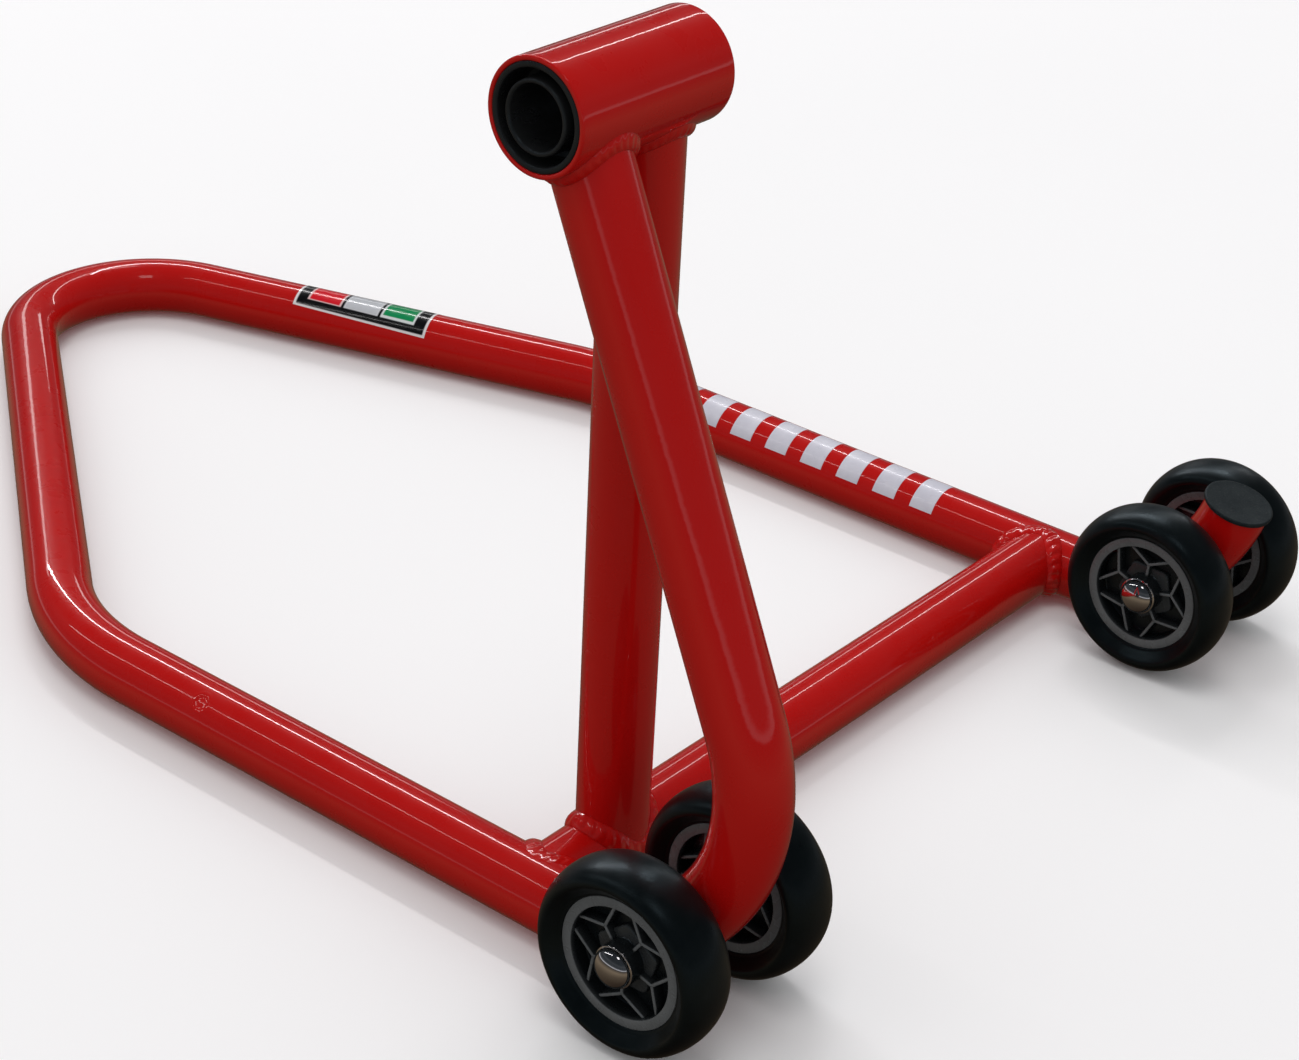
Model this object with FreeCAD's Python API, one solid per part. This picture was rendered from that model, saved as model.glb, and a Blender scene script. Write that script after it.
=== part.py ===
import FreeCAD, Part
import os
import math

# Single-sided-swingarm paddock stand: a welded tube frame that rolls on two
# pairs of wheels and lifts a motorcycle by a pin held in the receiver tube.
# Units are millimetres.  While the parts are built, x runs along the wheel
# axles from the pin side (0) to the far side, y runs from the axles toward
# the handle and z is height above the floor.  Every part is moved at the end
# so that the origin is the centre of the footprint on the floor.

V = FreeCAD.Vector
os.makedirs("parts", exist_ok=True)

# ---------------------------------------------------------------- dimensions
TUBE_R = 16.0            # frame tube, 32 mm outside diameter
TUBE_WALL = 2.0
BASE_Z = TUBE_R          # base tubes lie on the floor
TRACK = 399.0            # centre distance of the two wheel pairs

# handle loop, centre-line corners in plan
HANDLE_NEAR_Y = 377.3
HANDLE_FAR_X = 283.3
HANDLE_FAR_Y = 754.6
FAR_ARM_BEND_Y = 374.0
R_HANDLE_NEAR = 140.0
R_HANDLE_FAR = 68.0
R_FAR_ARM = 150.0
BUTT_ARC_DEG = 3.2       # the loop tube ends this far into the front bend

# front upright: the near base tube turned up between its wheels
FRONT_CORNER_Y = -75.3
R_FRONT = 92.5
# far base tube turned up between its wheels
R_FAR_END = 90.0
FAR_END_START_Y = 63.8
FAR_END_TURN = 75.6
FAR_END_STRAIGHT = 0.4

CROSS_Y = 78.8           # crossbar just behind the wheels
REAR_FOOT_X = 49.4
REAR_TOP_X = 37.2

RECEIVER_Y = 71.1
RECEIVER_Z = BASE_Z + 349.7
RECEIVER_R = 22.6
RECEIVER_WALL = 2.1
RECEIVER_X0 = -25.3
RECEIVER_X1 = 61.0
FRONT_TOP_X = -3.5

BUSH_LEN = 41.5
BUSH_OUTER_WALL = 2.5
BUSH_INNER_R = 14.2
PIN_BORE_R = 12.25
BUSH_WEB_DEPTH = 13.0
BUSH_WEB = 4.0

WHEEL_R = 42.5
WHEEL_W = 28.0
WHEEL_GAP = 3.5
WHEEL_X = TUBE_R + WHEEL_GAP + WHEEL_W / 2.0   # wheel centre from tube centre
AXLE_Z = WHEEL_R
TYRE_SIDE_R = 35.5       # radius of the widest place of the tyre's section
RIM_OUT_R = 29.1
RIM_SEAT_R = 27.5
RIM_IN_R = 24.5
RIM_HALF = 8.9
SEAT_HALF = 7.4
HUB_R = 9.2
HUB_HALF = 11.1
WEB_HALF = 1.5
BOSS_R = 15.4            # corners of the low five-sided boss round the hub
BOSS_HALF = 4.0
SPOKES = 5
SPOKE_T = 1.9
SPOKE_JOINT_R = 15.6
SPOKE_LEG_DEG = 27.0
SPOKE_HALF = 6.8

AXLE_R = 4.0
AXLE_HALF = 48.2
BORE_R = 4.15            # plain bore of the hub, turns on the axle rod
SLEEVE_R = 6.5
SLEEVE_HALF = 17.0
SPACER_R = 6.3
CAP_R = 9.3              # brim of the dome cap
CAP_DOME_R = 8.7
CAP_BRIM = 0.8
CAP_HEIGHT = 6.4
CAP_WALL = 0.7

PLUG_R = 17.4
PLUG_T = 2.1
PLUG_SPIGOT_R = 13.9
PLUG_SPIGOT_END_R = 12.9
PLUG_SPIGOT = 11.0

BEAD_W = 2.8             # leg of the fillet welds
LABEL_T = 0.12

# wheel name, tube centre x, side of the tube, resting angle of first spoke
WHEELS = [
    ("pin_side_outer", 0.0, -1, 52.0),
    ("pin_side_inner", 0.0, 1, 32.5),
    ("far_side_inner", TRACK, -1, 21.4),
    ("far_side_outer", TRACK, 1, 61.0),
]


# ------------------------------------------------------------------- helpers
def unit(v):
    w = V(v)
    w.normalize()
    return w


def fillet_path(points, radii):
    """Wire of straight runs joined by tangent arcs at the inner points."""
    edges = []
    start = points[0]
    for i in range(1, len(points) - 1):
        b = points[i]
        u = unit(points[i - 1] - b)
        v = unit(points[i + 1] - b)
        ang = math.acos(max(-1.0, min(1.0, u.dot(v))))
        r = radii[i - 1]
        t = r * math.tan((math.pi - ang) / 2.0)
        s = b + u * t
        e = b + v * t
        bis = unit(u + v)
        c = b + bis * (r / math.sin(ang / 2.0))
        m = c - bis * r
        if (s - start).Length > 1e-4:
            edges.append(Part.LineSegment(start, s).toShape())
        edges.append(Part.Arc(s, m, e).toShape())
        start = e
    if (points[-1] - start).Length > 1e-4:
        edges.append(Part.LineSegment(start, points[-1]).toShape())
    return Part.Wire(edges)


def sweep_round(wire, r):
    e = wire.OrderedEdges[0]
    p = e.valueAt(e.FirstParameter)
    d = e.tangentAt(e.FirstParameter)
    start = wire.OrderedVertexes[0].Point
    if (p - start).Length > 1e-4:
        p = e.valueAt(e.LastParameter)
        d = e.tangentAt(e.LastParameter)
    prof = Part.Wire([Part.Circle(p, d, r).toShape()])
    s = wire.makePipeShell([prof], True, False)
    s = s if s.ShapeType == "Solid" else Part.Solid(s.Shells[0])
    if s.Volume < 0:
        s.reverse()
    return s


def biggest(shape):
    return max(shape.Solids, key=lambda s: s.Volume)


def rod(a, b, r, extend=0.0):
    d = unit(b - a)
    return Part.makeCylinder(r, (b - a).Length + 2 * extend, a - d * extend, d)


def revolve_x(cx, cy, cz, pts, flip=1):
    """Solid of revolution about the x-parallel line through (cx, cy, cz)."""
    vs = [V(cx + flip * x, cy, cz + r) for x, r in pts]
    face = Part.Face(Part.makePolygon(vs + [vs[0]]))
    s = face.revolve(V(cx, cy, cz), V(1, 0, 0), 360)
    s = s if s.ShapeType == "Solid" else s.Solids[0]
    if s.Volume < 0:
        s.reverse()
    return s


def bead(host, hd, hr, start, bd, br, w, cuts):
    """Weld collar where a branch tube leaves a host tube.

    It is what lies within w of both tube walls, on the branch's side only.
    """
    hd = unit(hd)
    bd = unit(bd)
    reach = hd * (br + w + 6.0)
    h = rod(host - reach, host + reach, hr + w)
    b = rod(start, start + bd * (hr + w + 8.0), br + w)
    s = h.common(b)
    for c in cuts:
        s = s.cut(c)
    s = biggest(s)
    # soften the free corners where the kernel can
    return s


nodes = {}

# ---------------------------------------------------------------- frame tubes
t_far = math.radians(FAR_END_TURN)
far_t = R_FAR_END * math.tan(t_far / 2.0)
far_corner = V(TRACK, FAR_END_START_Y - far_t, BASE_Z)
far_dir = V(0, -math.cos(t_far), math.sin(t_far))
far_end = far_corner + far_dir * (far_t + FAR_END_STRAIGHT)

loop_pts = [
    V(0, 90.0, BASE_Z),
    V(0, HANDLE_NEAR_Y, BASE_Z),
    V(HANDLE_FAR_X, HANDLE_FAR_Y, BASE_Z),
    V(TRACK, FAR_ARM_BEND_Y, BASE_Z),
    far_corner,
    far_end,
]
loop_r = [R_HANDLE_NEAR, R_HANDLE_FAR, R_FAR_ARM, R_FAR_END]

front_corner = V(0, FRONT_CORNER_Y, BASE_Z)
front_top = V(FRONT_TOP_X, RECEIVER_Y, RECEIVER_Z)
front_dir = unit(front_top - front_corner)
# the front upright carries the near base tube on from a butt joint that lies
# a few degrees into its bend
front_turn = math.acos(V(0, -1, 0).dot(front_dir))
front_t = R_FRONT * math.tan(front_turn / 2.0)
near_line = fillet_path(
    [V(0, 90.0, BASE_Z), front_corner, front_top], [R_FRONT]
)
near_solid = sweep_round(near_line, TUBE_R)

arc = near_line.OrderedEdges[1]
a0, a1 = arc.FirstParameter, arc.LastParameter
start_pt = V(0, FRONT_CORNER_Y + front_t, BASE_Z)
step = math.radians(BUTT_ARC_DEG)
if (arc.Curve.value(a0) - start_pt).Length < 1e-3:
    arc_loop = arc.Curve.toShape(a0, a0 + step)
    arc_front = arc.Curve.toShape(a0 + step, a1)
    butt = arc.Curve.value(a0 + step)
else:
    arc_loop = arc.Curve.toShape(a1 - step, a1)
    arc_front = arc.Curve.toShape(a0, a1 - step)
    butt = arc.Curve.value(a1 - step)
butt_dir = unit(V(0, math.cos(step), -math.sin(step)))

front_line = Part.Wire([arc_front, near_line.OrderedEdges[2]])
front_solid = sweep_round(front_line, TUBE_R)
front_bore = sweep_round(front_line, TUBE_R - TUBE_WALL)

loop_pts[0] = start_pt
rest = fillet_path(loop_pts, loop_r)
loop_line = Part.Wire([arc_loop] + list(rest.OrderedEdges))
loop_solid = sweep_round(loop_line, TUBE_R)
loop_bore = sweep_round(loop_line, TUBE_R - TUBE_WALL)

cross_a = V(0, CROSS_Y, BASE_Z)
cross_b = V(TRACK, CROSS_Y, BASE_Z)
cross_solid = rod(cross_a, cross_b, TUBE_R)
rear_foot = V(REAR_FOOT_X, CROSS_Y, BASE_Z)
rear_top = V(REAR_TOP_X, RECEIVER_Y, RECEIVER_Z)
rear_dir = unit(rear_top - rear_foot)
rear_solid = rod(rear_foot, rear_top, TUBE_R)

rc_a = V(RECEIVER_X0, RECEIVER_Y, RECEIVER_Z)
rc_b = V(RECEIVER_X1, RECEIVER_Y, RECEIVER_Z)
receiver_solid = rod(rc_a, rc_b, RECEIVER_R)
rc_in = RECEIVER_R - RECEIVER_WALL

# receiver tube with broken edges
chf = 0.5
L = RECEIVER_X1 - RECEIVER_X0
nodes["pin_receiver_tube"] = revolve_x(
    RECEIVER_X0, RECEIVER_Y, RECEIVER_Z,
    [(0, rc_in), (0, RECEIVER_R - chf), (chf, RECEIVER_R),
     (L - chf, RECEIVER_R), (L, RECEIVER_R - chf), (L, rc_in)],
)

# bored axle hole through each base tube
near_hole = rod(V(-30, 0, AXLE_Z), V(30, 0, AXLE_Z), SLEEVE_R)
far_hole = rod(V(TRACK - 30, 0, AXLE_Z), V(TRACK + 30, 0, AXLE_Z), SLEEVE_R)

front = biggest(front_solid.cut(front_bore).cut(receiver_solid).cut(near_hole))
nodes["front_upright_tube"] = front

loop = loop_solid.cut(loop_bore).cut(far_hole)
# shallow round dimple on the near arm, left by the bending rest
dim_n = unit(V(-0.62, 0, 0.78))
dim_r = 12.0
dim_c = V(0, 272.0, BASE_Z) + dim_n * (TUBE_R + dim_r - 0.6)
loop = loop.cut(Part.makeSphere(dim_r, dim_c))
nodes["handle_loop_tube"] = biggest(loop)

cross = cross_solid.cut(rod(cross_a, cross_b, TUBE_R - TUBE_WALL, 5))
cross = cross.cut(loop_solid).cut(near_solid)
nodes["crossbar_tube"] = biggest(cross)

rear = rear_solid.cut(rod(rear_foot, rear_top, TUBE_R - TUBE_WALL, 5))
rear = rear.cut(cross_solid).cut(receiver_solid)
nodes["rear_upright_tube"] = biggest(rear)

# --------------------------------------------------------------------- welds
X1 = V(1, 0, 0)
Y1 = V(0, 1, 0)
floor = Part.makeBox(1200, 1200, 40, V(-300, -300, -39.95))
nodes["weld_crossbar_pin_side"] = bead(
    cross_a, Y1, TUBE_R, cross_a, X1, TUBE_R, BEAD_W,
    [loop_solid, near_solid, cross_solid, floor])
nodes["weld_crossbar_far_side"] = bead(
    cross_b, Y1, TUBE_R, cross_b, X1 * -1, TUBE_R, BEAD_W + 0.4,
    [loop_solid, cross_solid, floor])
nodes["weld_rear_upright_foot"] = bead(
    rear_foot, X1, TUBE_R, rear_foot, rear_dir, TUBE_R, BEAD_W + 0.2,
    [cross_solid, rear_solid])
nodes["weld_rear_upright_head"] = bead(
    rear_top, X1, RECEIVER_R, rear_top, rear_dir * -1, TUBE_R, BEAD_W,
    [receiver_solid, rear_solid])
nodes["weld_front_upright_head"] = bead(
    front_top, X1, RECEIVER_R, front_top, front_dir * -1, TUBE_R, BEAD_W,
    [receiver_solid, near_solid])
ring = Part.makeTorus(TUBE_R - 0.5, 2.1, butt, butt_dir)
ring = ring.cut(near_solid).cut(nodes["weld_crossbar_pin_side"])
ring = ring.cut(floor)
nodes["weld_loop_butt_joint"] = biggest(ring)

# ---------------------------------------------------------- axles and sleeves
for name, cx, tube in (("pin_side", 0.0, near_solid), ("far_side", TRACK, loop_solid)):
    sl = rod(V(cx - SLEEVE_HALF, 0, AXLE_Z), V(cx + SLEEVE_HALF, 0, AXLE_Z), SLEEVE_R)
    sl = sl.cut(rod(V(cx - 40, 0, AXLE_Z), V(cx + 40, 0, AXLE_Z), AXLE_R + 0.1))
    nodes["axle_sleeve_" + name] = sl
    wl = []
    for sgn in (-1, 1):
        tor = Part.makeTorus(SLEEVE_R, 1.5, V(cx + sgn * (TUBE_R - 0.9), 0, AXLE_Z), X1)
        tor = tor.cut(tube).cut(
            rod(V(cx - 40, 0, AXLE_Z), V(cx + 40, 0, AXLE_Z), SLEEVE_R))
        wl.append(biggest(tor))
    nodes["weld_axle_sleeve_" + name] = Part.makeCompound(wl)
    ax = Part.makeCylinder(AXLE_R, 2 * AXLE_HALF, V(cx - AXLE_HALF, 0, AXLE_Z), X1)
    ends = [e for e in ax.Edges if e.Curve.TypeId == "Part::GeomCircle"]
    nodes["axle_rod_" + name] = ax.makeChamfer(0.6, ends)

# ------------------------------------------------------------ wheel furniture
side_spacers = []
caps = []


def make_tyre(cx):
    """Tyre moulded on the rim seat: sloping side walls under a round tread."""
    h = WHEEL_W / 2.0
    z0 = AXLE_Z

    def P(x, r):
        return V(cx + x, 0, z0 + r)

    def line(x1, r1, x2, r2):
        return Part.LineSegment(P(x1, r1), P(x2, r2)).toShape()

    oval = Part.Ellipse(P(h, TYRE_SIDE_R), P(0, WHEEL_R), P(0, TYRE_SIDE_R))
    ed = [
        line(-SEAT_HALF, RIM_SEAT_R, SEAT_HALF, RIM_SEAT_R),
        line(SEAT_HALF, RIM_SEAT_R, SEAT_HALF, RIM_OUT_R),
        line(SEAT_HALF, RIM_OUT_R, RIM_HALF, RIM_OUT_R),
        line(RIM_HALF, RIM_OUT_R, h - 1.0, TYRE_SIDE_R - 1.6),
        Part.Arc(P(h - 1.0, TYRE_SIDE_R - 1.6), P(h - 0.3, TYRE_SIDE_R - 0.85), P(h, TYRE_SIDE_R)).toShape(),
        oval.toShape(0, math.pi),
        Part.Arc(P(-h, TYRE_SIDE_R), P(-h + 0.3, TYRE_SIDE_R - 0.85), P(-h + 1.0, TYRE_SIDE_R - 1.6)).toShape(),
        line(-h + 1.0, TYRE_SIDE_R - 1.6, -RIM_HALF, RIM_OUT_R),
        line(-RIM_HALF, RIM_OUT_R, -SEAT_HALF, RIM_OUT_R),
        line(-SEAT_HALF, RIM_OUT_R, -SEAT_HALF, RIM_SEAT_R),
    ]
    face = Part.Face(Part.Wire(Part.__sortEdges__(ed)))
    s = face.revolve(V(cx, 0, z0), X1, 360)
    s = s if s.ShapeType == "Solid" else s.Solids[0]
    if s.Volume < 0:
        s.reverse()
    return s


def make_core(cx, first):
    z0 = AXLE_Z
    # rim, web and hub as one revolved outline
    rim = revolve_x(cx, 0, z0, [
        (-RIM_HALF, RIM_IN_R + 0.3), (-RIM_HALF + 0.5, RIM_IN_R), (-WEB_HALF, RIM_IN_R - 0.6),
        (WEB_HALF, RIM_IN_R - 0.6), (RIM_HALF - 0.5, RIM_IN_R), (RIM_HALF, RIM_IN_R + 0.3),
        (RIM_HALF, RIM_OUT_R), (SEAT_HALF, RIM_OUT_R), (SEAT_HALF, RIM_SEAT_R),
        (-SEAT_HALF, RIM_SEAT_R), (-SEAT_HALF, RIM_OUT_R), (-RIM_HALF, RIM_OUT_R)])
    hub = revolve_x(cx, 0, z0, [
        (-HUB_HALF, BORE_R + 0.4), (-HUB_HALF + 0.4, BORE_R), (HUB_HALF - 0.4, BORE_R), (HUB_HALF, BORE_R + 0.4),
        (HUB_HALF, HUB_R - 0.5), (HUB_HALF - 0.5, HUB_R),
        (WEB_HALF, HUB_R + 0.2), (WEB_HALF, RIM_IN_R), (-WEB_HALF, RIM_IN_R),
        (-WEB_HALF, HUB_R + 0.2), (-HUB_HALF + 0.5, HUB_R), (-HUB_HALF, HUB_R - 0.5)])
    # low five-sided boss, its corners halfway between the spokes
    corners = []
    for k in range(SPOKES):
        a = math.radians(first + 360.0 * (k + 0.5) / SPOKES)
        corners.append(V(cx - BOSS_HALF, BOSS_R * math.cos(a), z0 + BOSS_R * math.sin(a)))
    boss = Part.Face(Part.makePolygon(corners + [corners[0]])).extrude(V(2 * BOSS_HALF, 0, 0))
    boss = boss.cut(rod(V(cx - 20, 0, z0), V(cx + 20, 0, z0), HUB_R - 1.0))
    core = rim.fuse(hub).fuse(boss)

    def bar(r1, a1, r2, a2, t):
        p = V(0, r1 * math.cos(a1), r1 * math.sin(a1))
        q = V(0, r2 * math.cos(a2), r2 * math.sin(a2))
        d = unit(q - p)
        n = V(0, -d.z, d.y) * (t / 2.0)
        base = V(cx - SPOKE_HALF, 0, z0)
        w = Part.makePolygon([base + p + n, base + q + n, base + q - n, base + p - n, base + p + n])
        return Part.Face(w).extrude(V(2 * SPOKE_HALF, 0, 0))

    for k in range(SPOKES):
        a = math.radians(first + 360.0 * k / SPOKES)
        leg = math.radians(SPOKE_LEG_DEG)
        y = bar(HUB_R - 0.6, a, SPOKE_JOINT_R + 0.4, a, SPOKE_T)
        y = y.fuse(bar(SPOKE_JOINT_R, a, RIM_IN_R + 0.6, a + leg, SPOKE_T))
        y = y.fuse(bar(SPOKE_JOINT_R, a, RIM_IN_R + 0.6, a - leg, SPOKE_T))
        core = core.fuse(y)
    return biggest(core.removeSplitter())


for name, tube_x, side, first in WHEELS:
    cx = tube_x + side * WHEEL_X
    nodes["tyre_" + name] = make_tyre(cx)
    nodes["wheel_core_" + name] = make_core(cx, first)
    # spacer tube between the sleeve and the hub
    s0 = SLEEVE_HALF
    s1 = WHEEL_X - HUB_HALF - 0.1
    side_spacers.append(revolve_x(tube_x, 0, AXLE_Z, [
        (s0, AXLE_R + 0.05), (s0, SPACER_R), (s1, SPACER_R), (s1, AXLE_R + 0.05)], side))
    # pressed dome cap: a narrow brim, a dome, and a collar that grips the rod
    b0 = WHEEL_X + HUB_HALF + 0.1
    dome = [(b0, AXLE_R), (b0, CAP_R - 0.2), (b0 + 0.2, CAP_R), (b0 + CAP_BRIM - 0.2, CAP_R),
            (b0 + CAP_BRIM, CAP_R - 0.2), (b0 + CAP_BRIM, CAP_DOME_R)]
    steps = 10
    rise = CAP_HEIGHT - CAP_BRIM
    for k in range(1, steps + 1):
        a = math.pi / 2 * k / steps
        dome.append((b0 + CAP_BRIM + rise * math.sin(a),
                     CAP_DOME_R * math.cos(a) if k < steps else 0.0))
    for k in range(steps, -1, -1):
        a = math.pi / 2 * k / steps
        dome.append((b0 + CAP_BRIM + 0.3 + (rise - 0.3 - CAP_WALL) * math.sin(a),
                     (CAP_DOME_R - CAP_WALL) * math.cos(a) if k < steps else 0.0))
    dome.append((b0 + CAP_BRIM + 0.3, AXLE_R))
    caps.append(revolve_x(tube_x, 0, AXLE_Z, dome, side))

nodes["axle_side_spacers"] = Part.makeCompound(side_spacers)
nodes["axle_dome_caps"] = Part.makeCompound(caps)

# ------------------------------------------------------------ receiver bushes
for name, x0, flip in (("pin_side", RECEIVER_X0, 1), ("far_side", RECEIVER_X1, -1)):
    w0 = rc_in - BUSH_OUTER_WALL
    nodes["receiver_bush_" + name] = revolve_x(
        x0, RECEIVER_Y, RECEIVER_Z,
        [(0.5, PIN_BORE_R + 0.0), (0.0, PIN_BORE_R + 0.5), (0.0, BUSH_INNER_R - 0.4), (0.4, BUSH_INNER_R),
         (BUSH_WEB_DEPTH, BUSH_INNER_R + 0.3), (BUSH_WEB_DEPTH, w0 - 0.3),
         (0.4, w0), (0.0, w0 + 0.4), (0.0, rc_in - 0.5), (0.5, rc_in),
         (BUSH_LEN, rc_in), (BUSH_LEN, w0), (BUSH_WEB_DEPTH + BUSH_WEB, w0),
         (BUSH_WEB_DEPTH + BUSH_WEB, BUSH_INNER_R), (BUSH_LEN, BUSH_INNER_R),
         (BUSH_LEN, PIN_BORE_R)], flip)

# ------------------------------------------------------------------- end plug
e0 = far_end
plug = Part.makeCylinder(PLUG_R, PLUG_T, e0, far_dir)
top_edge = [e for e in plug.Edges if e.Curve.TypeId == "Part::GeomCircle"
            and (e.Curve.Center - (e0 + far_dir * PLUG_T)).Length < 0.01]
plug = plug.makeFillet(0.8, top_edge)
# the spigot tapers, since the tube starts to bend just below its end
spig = Part.makeCone(PLUG_SPIGOT_END_R, PLUG_SPIGOT_R, PLUG_SPIGOT, e0 - far_dir * PLUG_SPIGOT, far_dir)
spig = spig.cut(Part.makeCylinder(PLUG_SPIGOT_END_R - 2.0, PLUG_SPIGOT - 0.5,
                                  e0 - far_dir * (PLUG_SPIGOT + 1.0), far_dir))
nodes["tube_end_plug"] = biggest(plug.fuse(spig).removeSplitter())

# ---------------------------------------------------------------- thin labels
def sheet(a, b, s0, s1, up_deg0, up_deg1, side_dir, skew=0.0):
    """Piece of thin film wrapped on a straight tube running from a to b."""
    d = unit(b - a)
    up = V(0, 0, 1)
    sd = unit(side_dir - d * side_dir.dot(d))

    def dirn(deg):
        t = math.radians(deg)
        return sd * math.cos(t) + up * math.sin(t)

    m = 0.5 * (up_deg0 + up_deg1)
    r0, r1 = TUBE_R, TUBE_R + LABEL_T
    o = a + d * s0
    e = []
    e.append(Part.Arc(o + dirn(up_deg0) * r1, o + dirn(m) * r1, o + dirn(up_deg1) * r1).toShape())
    e.append(Part.LineSegment(o + dirn(up_deg1) * r1, o + dirn(up_deg1) * r0).toShape())
    e.append(Part.Arc(o + dirn(up_deg1) * r0, o + dirn(m) * r0, o + dirn(up_deg0) * r0).toShape())
    e.append(Part.LineSegment(o + dirn(up_deg0) * r0, o + dirn(up_deg0) * r1).toShape())
    return Part.Face(Part.Wire(e)).extrude(d * (s1 - s0))


arm_a = V(TRACK, FAR_ARM_BEND_Y, BASE_Z)
arm_b = V(HANDLE_FAR_X, HANDLE_FAR_Y, BASE_Z)
LABEL_S0, LABEL_S1 = 110.0, 200.0
LABEL_DEG0, LABEL_DEG1 = 27.0, 125.0
nodes["handle_label"] = sheet(arm_a, arm_b, LABEL_S0, LABEL_S1, LABEL_DEG0, LABEL_DEG1, V(-1, 0, 0))

MARK_Y0, MARK_PITCH, MARK_W, MARK_N = 140.0, 24.0, 14.0, 8
MARK_DEG0, MARK_DEG1 = 24.0, 110.0
marks = []
base_a = V(TRACK, 0, BASE_Z)
base_b = V(TRACK, FAR_ARM_BEND_Y, BASE_Z)
for k in range(MARK_N):
    marks.append(sheet(base_a, base_b, MARK_Y0 + k * MARK_PITCH,
                       MARK_Y0 + k * MARK_PITCH + MARK_W, MARK_DEG0, MARK_DEG1, V(-1, 0, 0)))
nodes["arm_stripe_marks"] = Part.makeCompound(marks)

# -------------------------------------------------- move to the footprint frame
box = None
for s in nodes.values():
    b = s.optimalBoundingBox(False, False)
    if box is None:
        box = b
    else:
        box.add(b)
shift = V(-(box.XMin + box.XMax) / 2.0, -(box.YMin + box.YMax) / 2.0, -box.ZMin)
print("box", round(box.XMin, 3), round(box.XMax, 3), round(box.YMin, 3),
      round(box.YMax, 3), round(box.ZMin, 4), round(box.ZMax, 3))
print("shift", round(shift.x, 4), round(shift.y, 4), round(shift.z, 4))
for name, s in nodes.items():
    s.translate(shift)
    if not s.isValid():
        print("INVALID", name)
    s.exportStep("parts/" + name + ".step")
print(len(nodes), "nodes")
print("front turn", round(math.degrees(front_turn), 2), "butt y", round(butt.y, 2),
      "plug", [round(c, 1) for c in (far_end.x, far_end.y, far_end.z)])
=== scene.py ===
import math
import random

import bpy
import numpy as np
from mathutils import Matrix, Vector


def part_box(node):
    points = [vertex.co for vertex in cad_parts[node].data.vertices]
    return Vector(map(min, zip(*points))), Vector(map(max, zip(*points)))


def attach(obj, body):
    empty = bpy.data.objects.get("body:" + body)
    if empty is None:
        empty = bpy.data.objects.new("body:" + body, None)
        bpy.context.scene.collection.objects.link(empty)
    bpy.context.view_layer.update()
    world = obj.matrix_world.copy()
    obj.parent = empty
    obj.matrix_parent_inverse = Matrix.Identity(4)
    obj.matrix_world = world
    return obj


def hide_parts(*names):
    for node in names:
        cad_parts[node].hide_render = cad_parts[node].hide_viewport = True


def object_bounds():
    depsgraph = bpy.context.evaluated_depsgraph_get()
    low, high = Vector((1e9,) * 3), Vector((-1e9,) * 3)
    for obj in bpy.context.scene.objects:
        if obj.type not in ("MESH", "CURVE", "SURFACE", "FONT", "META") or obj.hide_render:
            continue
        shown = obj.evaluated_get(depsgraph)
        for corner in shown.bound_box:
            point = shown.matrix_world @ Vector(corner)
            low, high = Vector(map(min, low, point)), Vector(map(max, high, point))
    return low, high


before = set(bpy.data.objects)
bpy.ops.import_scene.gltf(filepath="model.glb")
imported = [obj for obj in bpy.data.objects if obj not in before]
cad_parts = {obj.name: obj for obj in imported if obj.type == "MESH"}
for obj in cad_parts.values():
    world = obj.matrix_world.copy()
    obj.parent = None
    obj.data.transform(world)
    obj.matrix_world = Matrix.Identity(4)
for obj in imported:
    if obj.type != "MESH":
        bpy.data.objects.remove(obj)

CAD_LO, CAD_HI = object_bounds()
CAD_LO, CAD_HI = list(CAD_LO), list(CAD_HI)
random.seed(7)
rng = np.random.default_rng(7)

# ------------------------------------------------------------------ placement
# The design's own coordinates are millimetres with x = 0, y = 0 on the pin
# side axle; the wheels' boxes give where that is in the row frame.
_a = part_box("tyre_pin_side_outer")
_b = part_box("tyre_pin_side_inner")
OX = (_a[0].x + _b[1].x) / 2
OY = (_a[0].y + _a[1].y) / 2


def W(p):
    p = np.asarray(p, float)
    q = p / 1000.0
    q = q + np.array([OX, OY, 0.0])
    return q


R_T = 16.0
TRACK = 399.0
BASE_Z = 16.0
CROSS_Y = 78.8
REC_Y, REC_Z, REC_R = 71.1, 365.7, 22.6
REC_X0, REC_X1 = -25.3, 61.0
FRONT_CORNER = np.array([0.0, -75.3, BASE_Z])
FRONT_TOP = np.array([-3.5, REC_Y, REC_Z])
REAR_FOOT = np.array([49.4, CROSS_Y, BASE_Z])
REAR_TOP = np.array([37.2, REC_Y, REC_Z])
AXLE_Z = 42.5
WHEEL_X = 33.5
FAR_TURN = math.radians(75.6)


def unit(v):
    v = np.asarray(v, float)
    return v / np.linalg.norm(v)


# -------------------------------------------------------------- mesh building
COL = bpy.context.scene.collection


def make_obj(name, verts, faces, uvs=None, mat=None, sharp=None):
    me = bpy.data.meshes.new(name)
    me.from_pydata([tuple(v) for v in verts], [], [tuple(f) for f in faces])
    if uvs is not None:
        lay = me.uv_layers.new(name="UVMap")
        flat = np.empty((len(me.loops), 2), np.float32)
        idx = np.empty(len(me.loops), np.int32)
        me.loops.foreach_get("vertex_index", idx)
        if isinstance(uvs, dict):
            k = 0
            for fi, f in enumerate(faces):
                for j in range(len(f)):
                    flat[k] = uvs[fi][j]
                    k += 1
        else:
            flat[:] = np.asarray(uvs, np.float32)[idx]
        lay.data.foreach_set("uv", flat.ravel())
    me.validate()
    me.shade_smooth()
    if sharp:
        me.set_sharp_from_angle(angle=math.radians(sharp))
    ob = bpy.data.objects.new(name, me)
    COL.objects.link(ob)
    if mat:
        me.materials.append(mat)
    return ob


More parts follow.
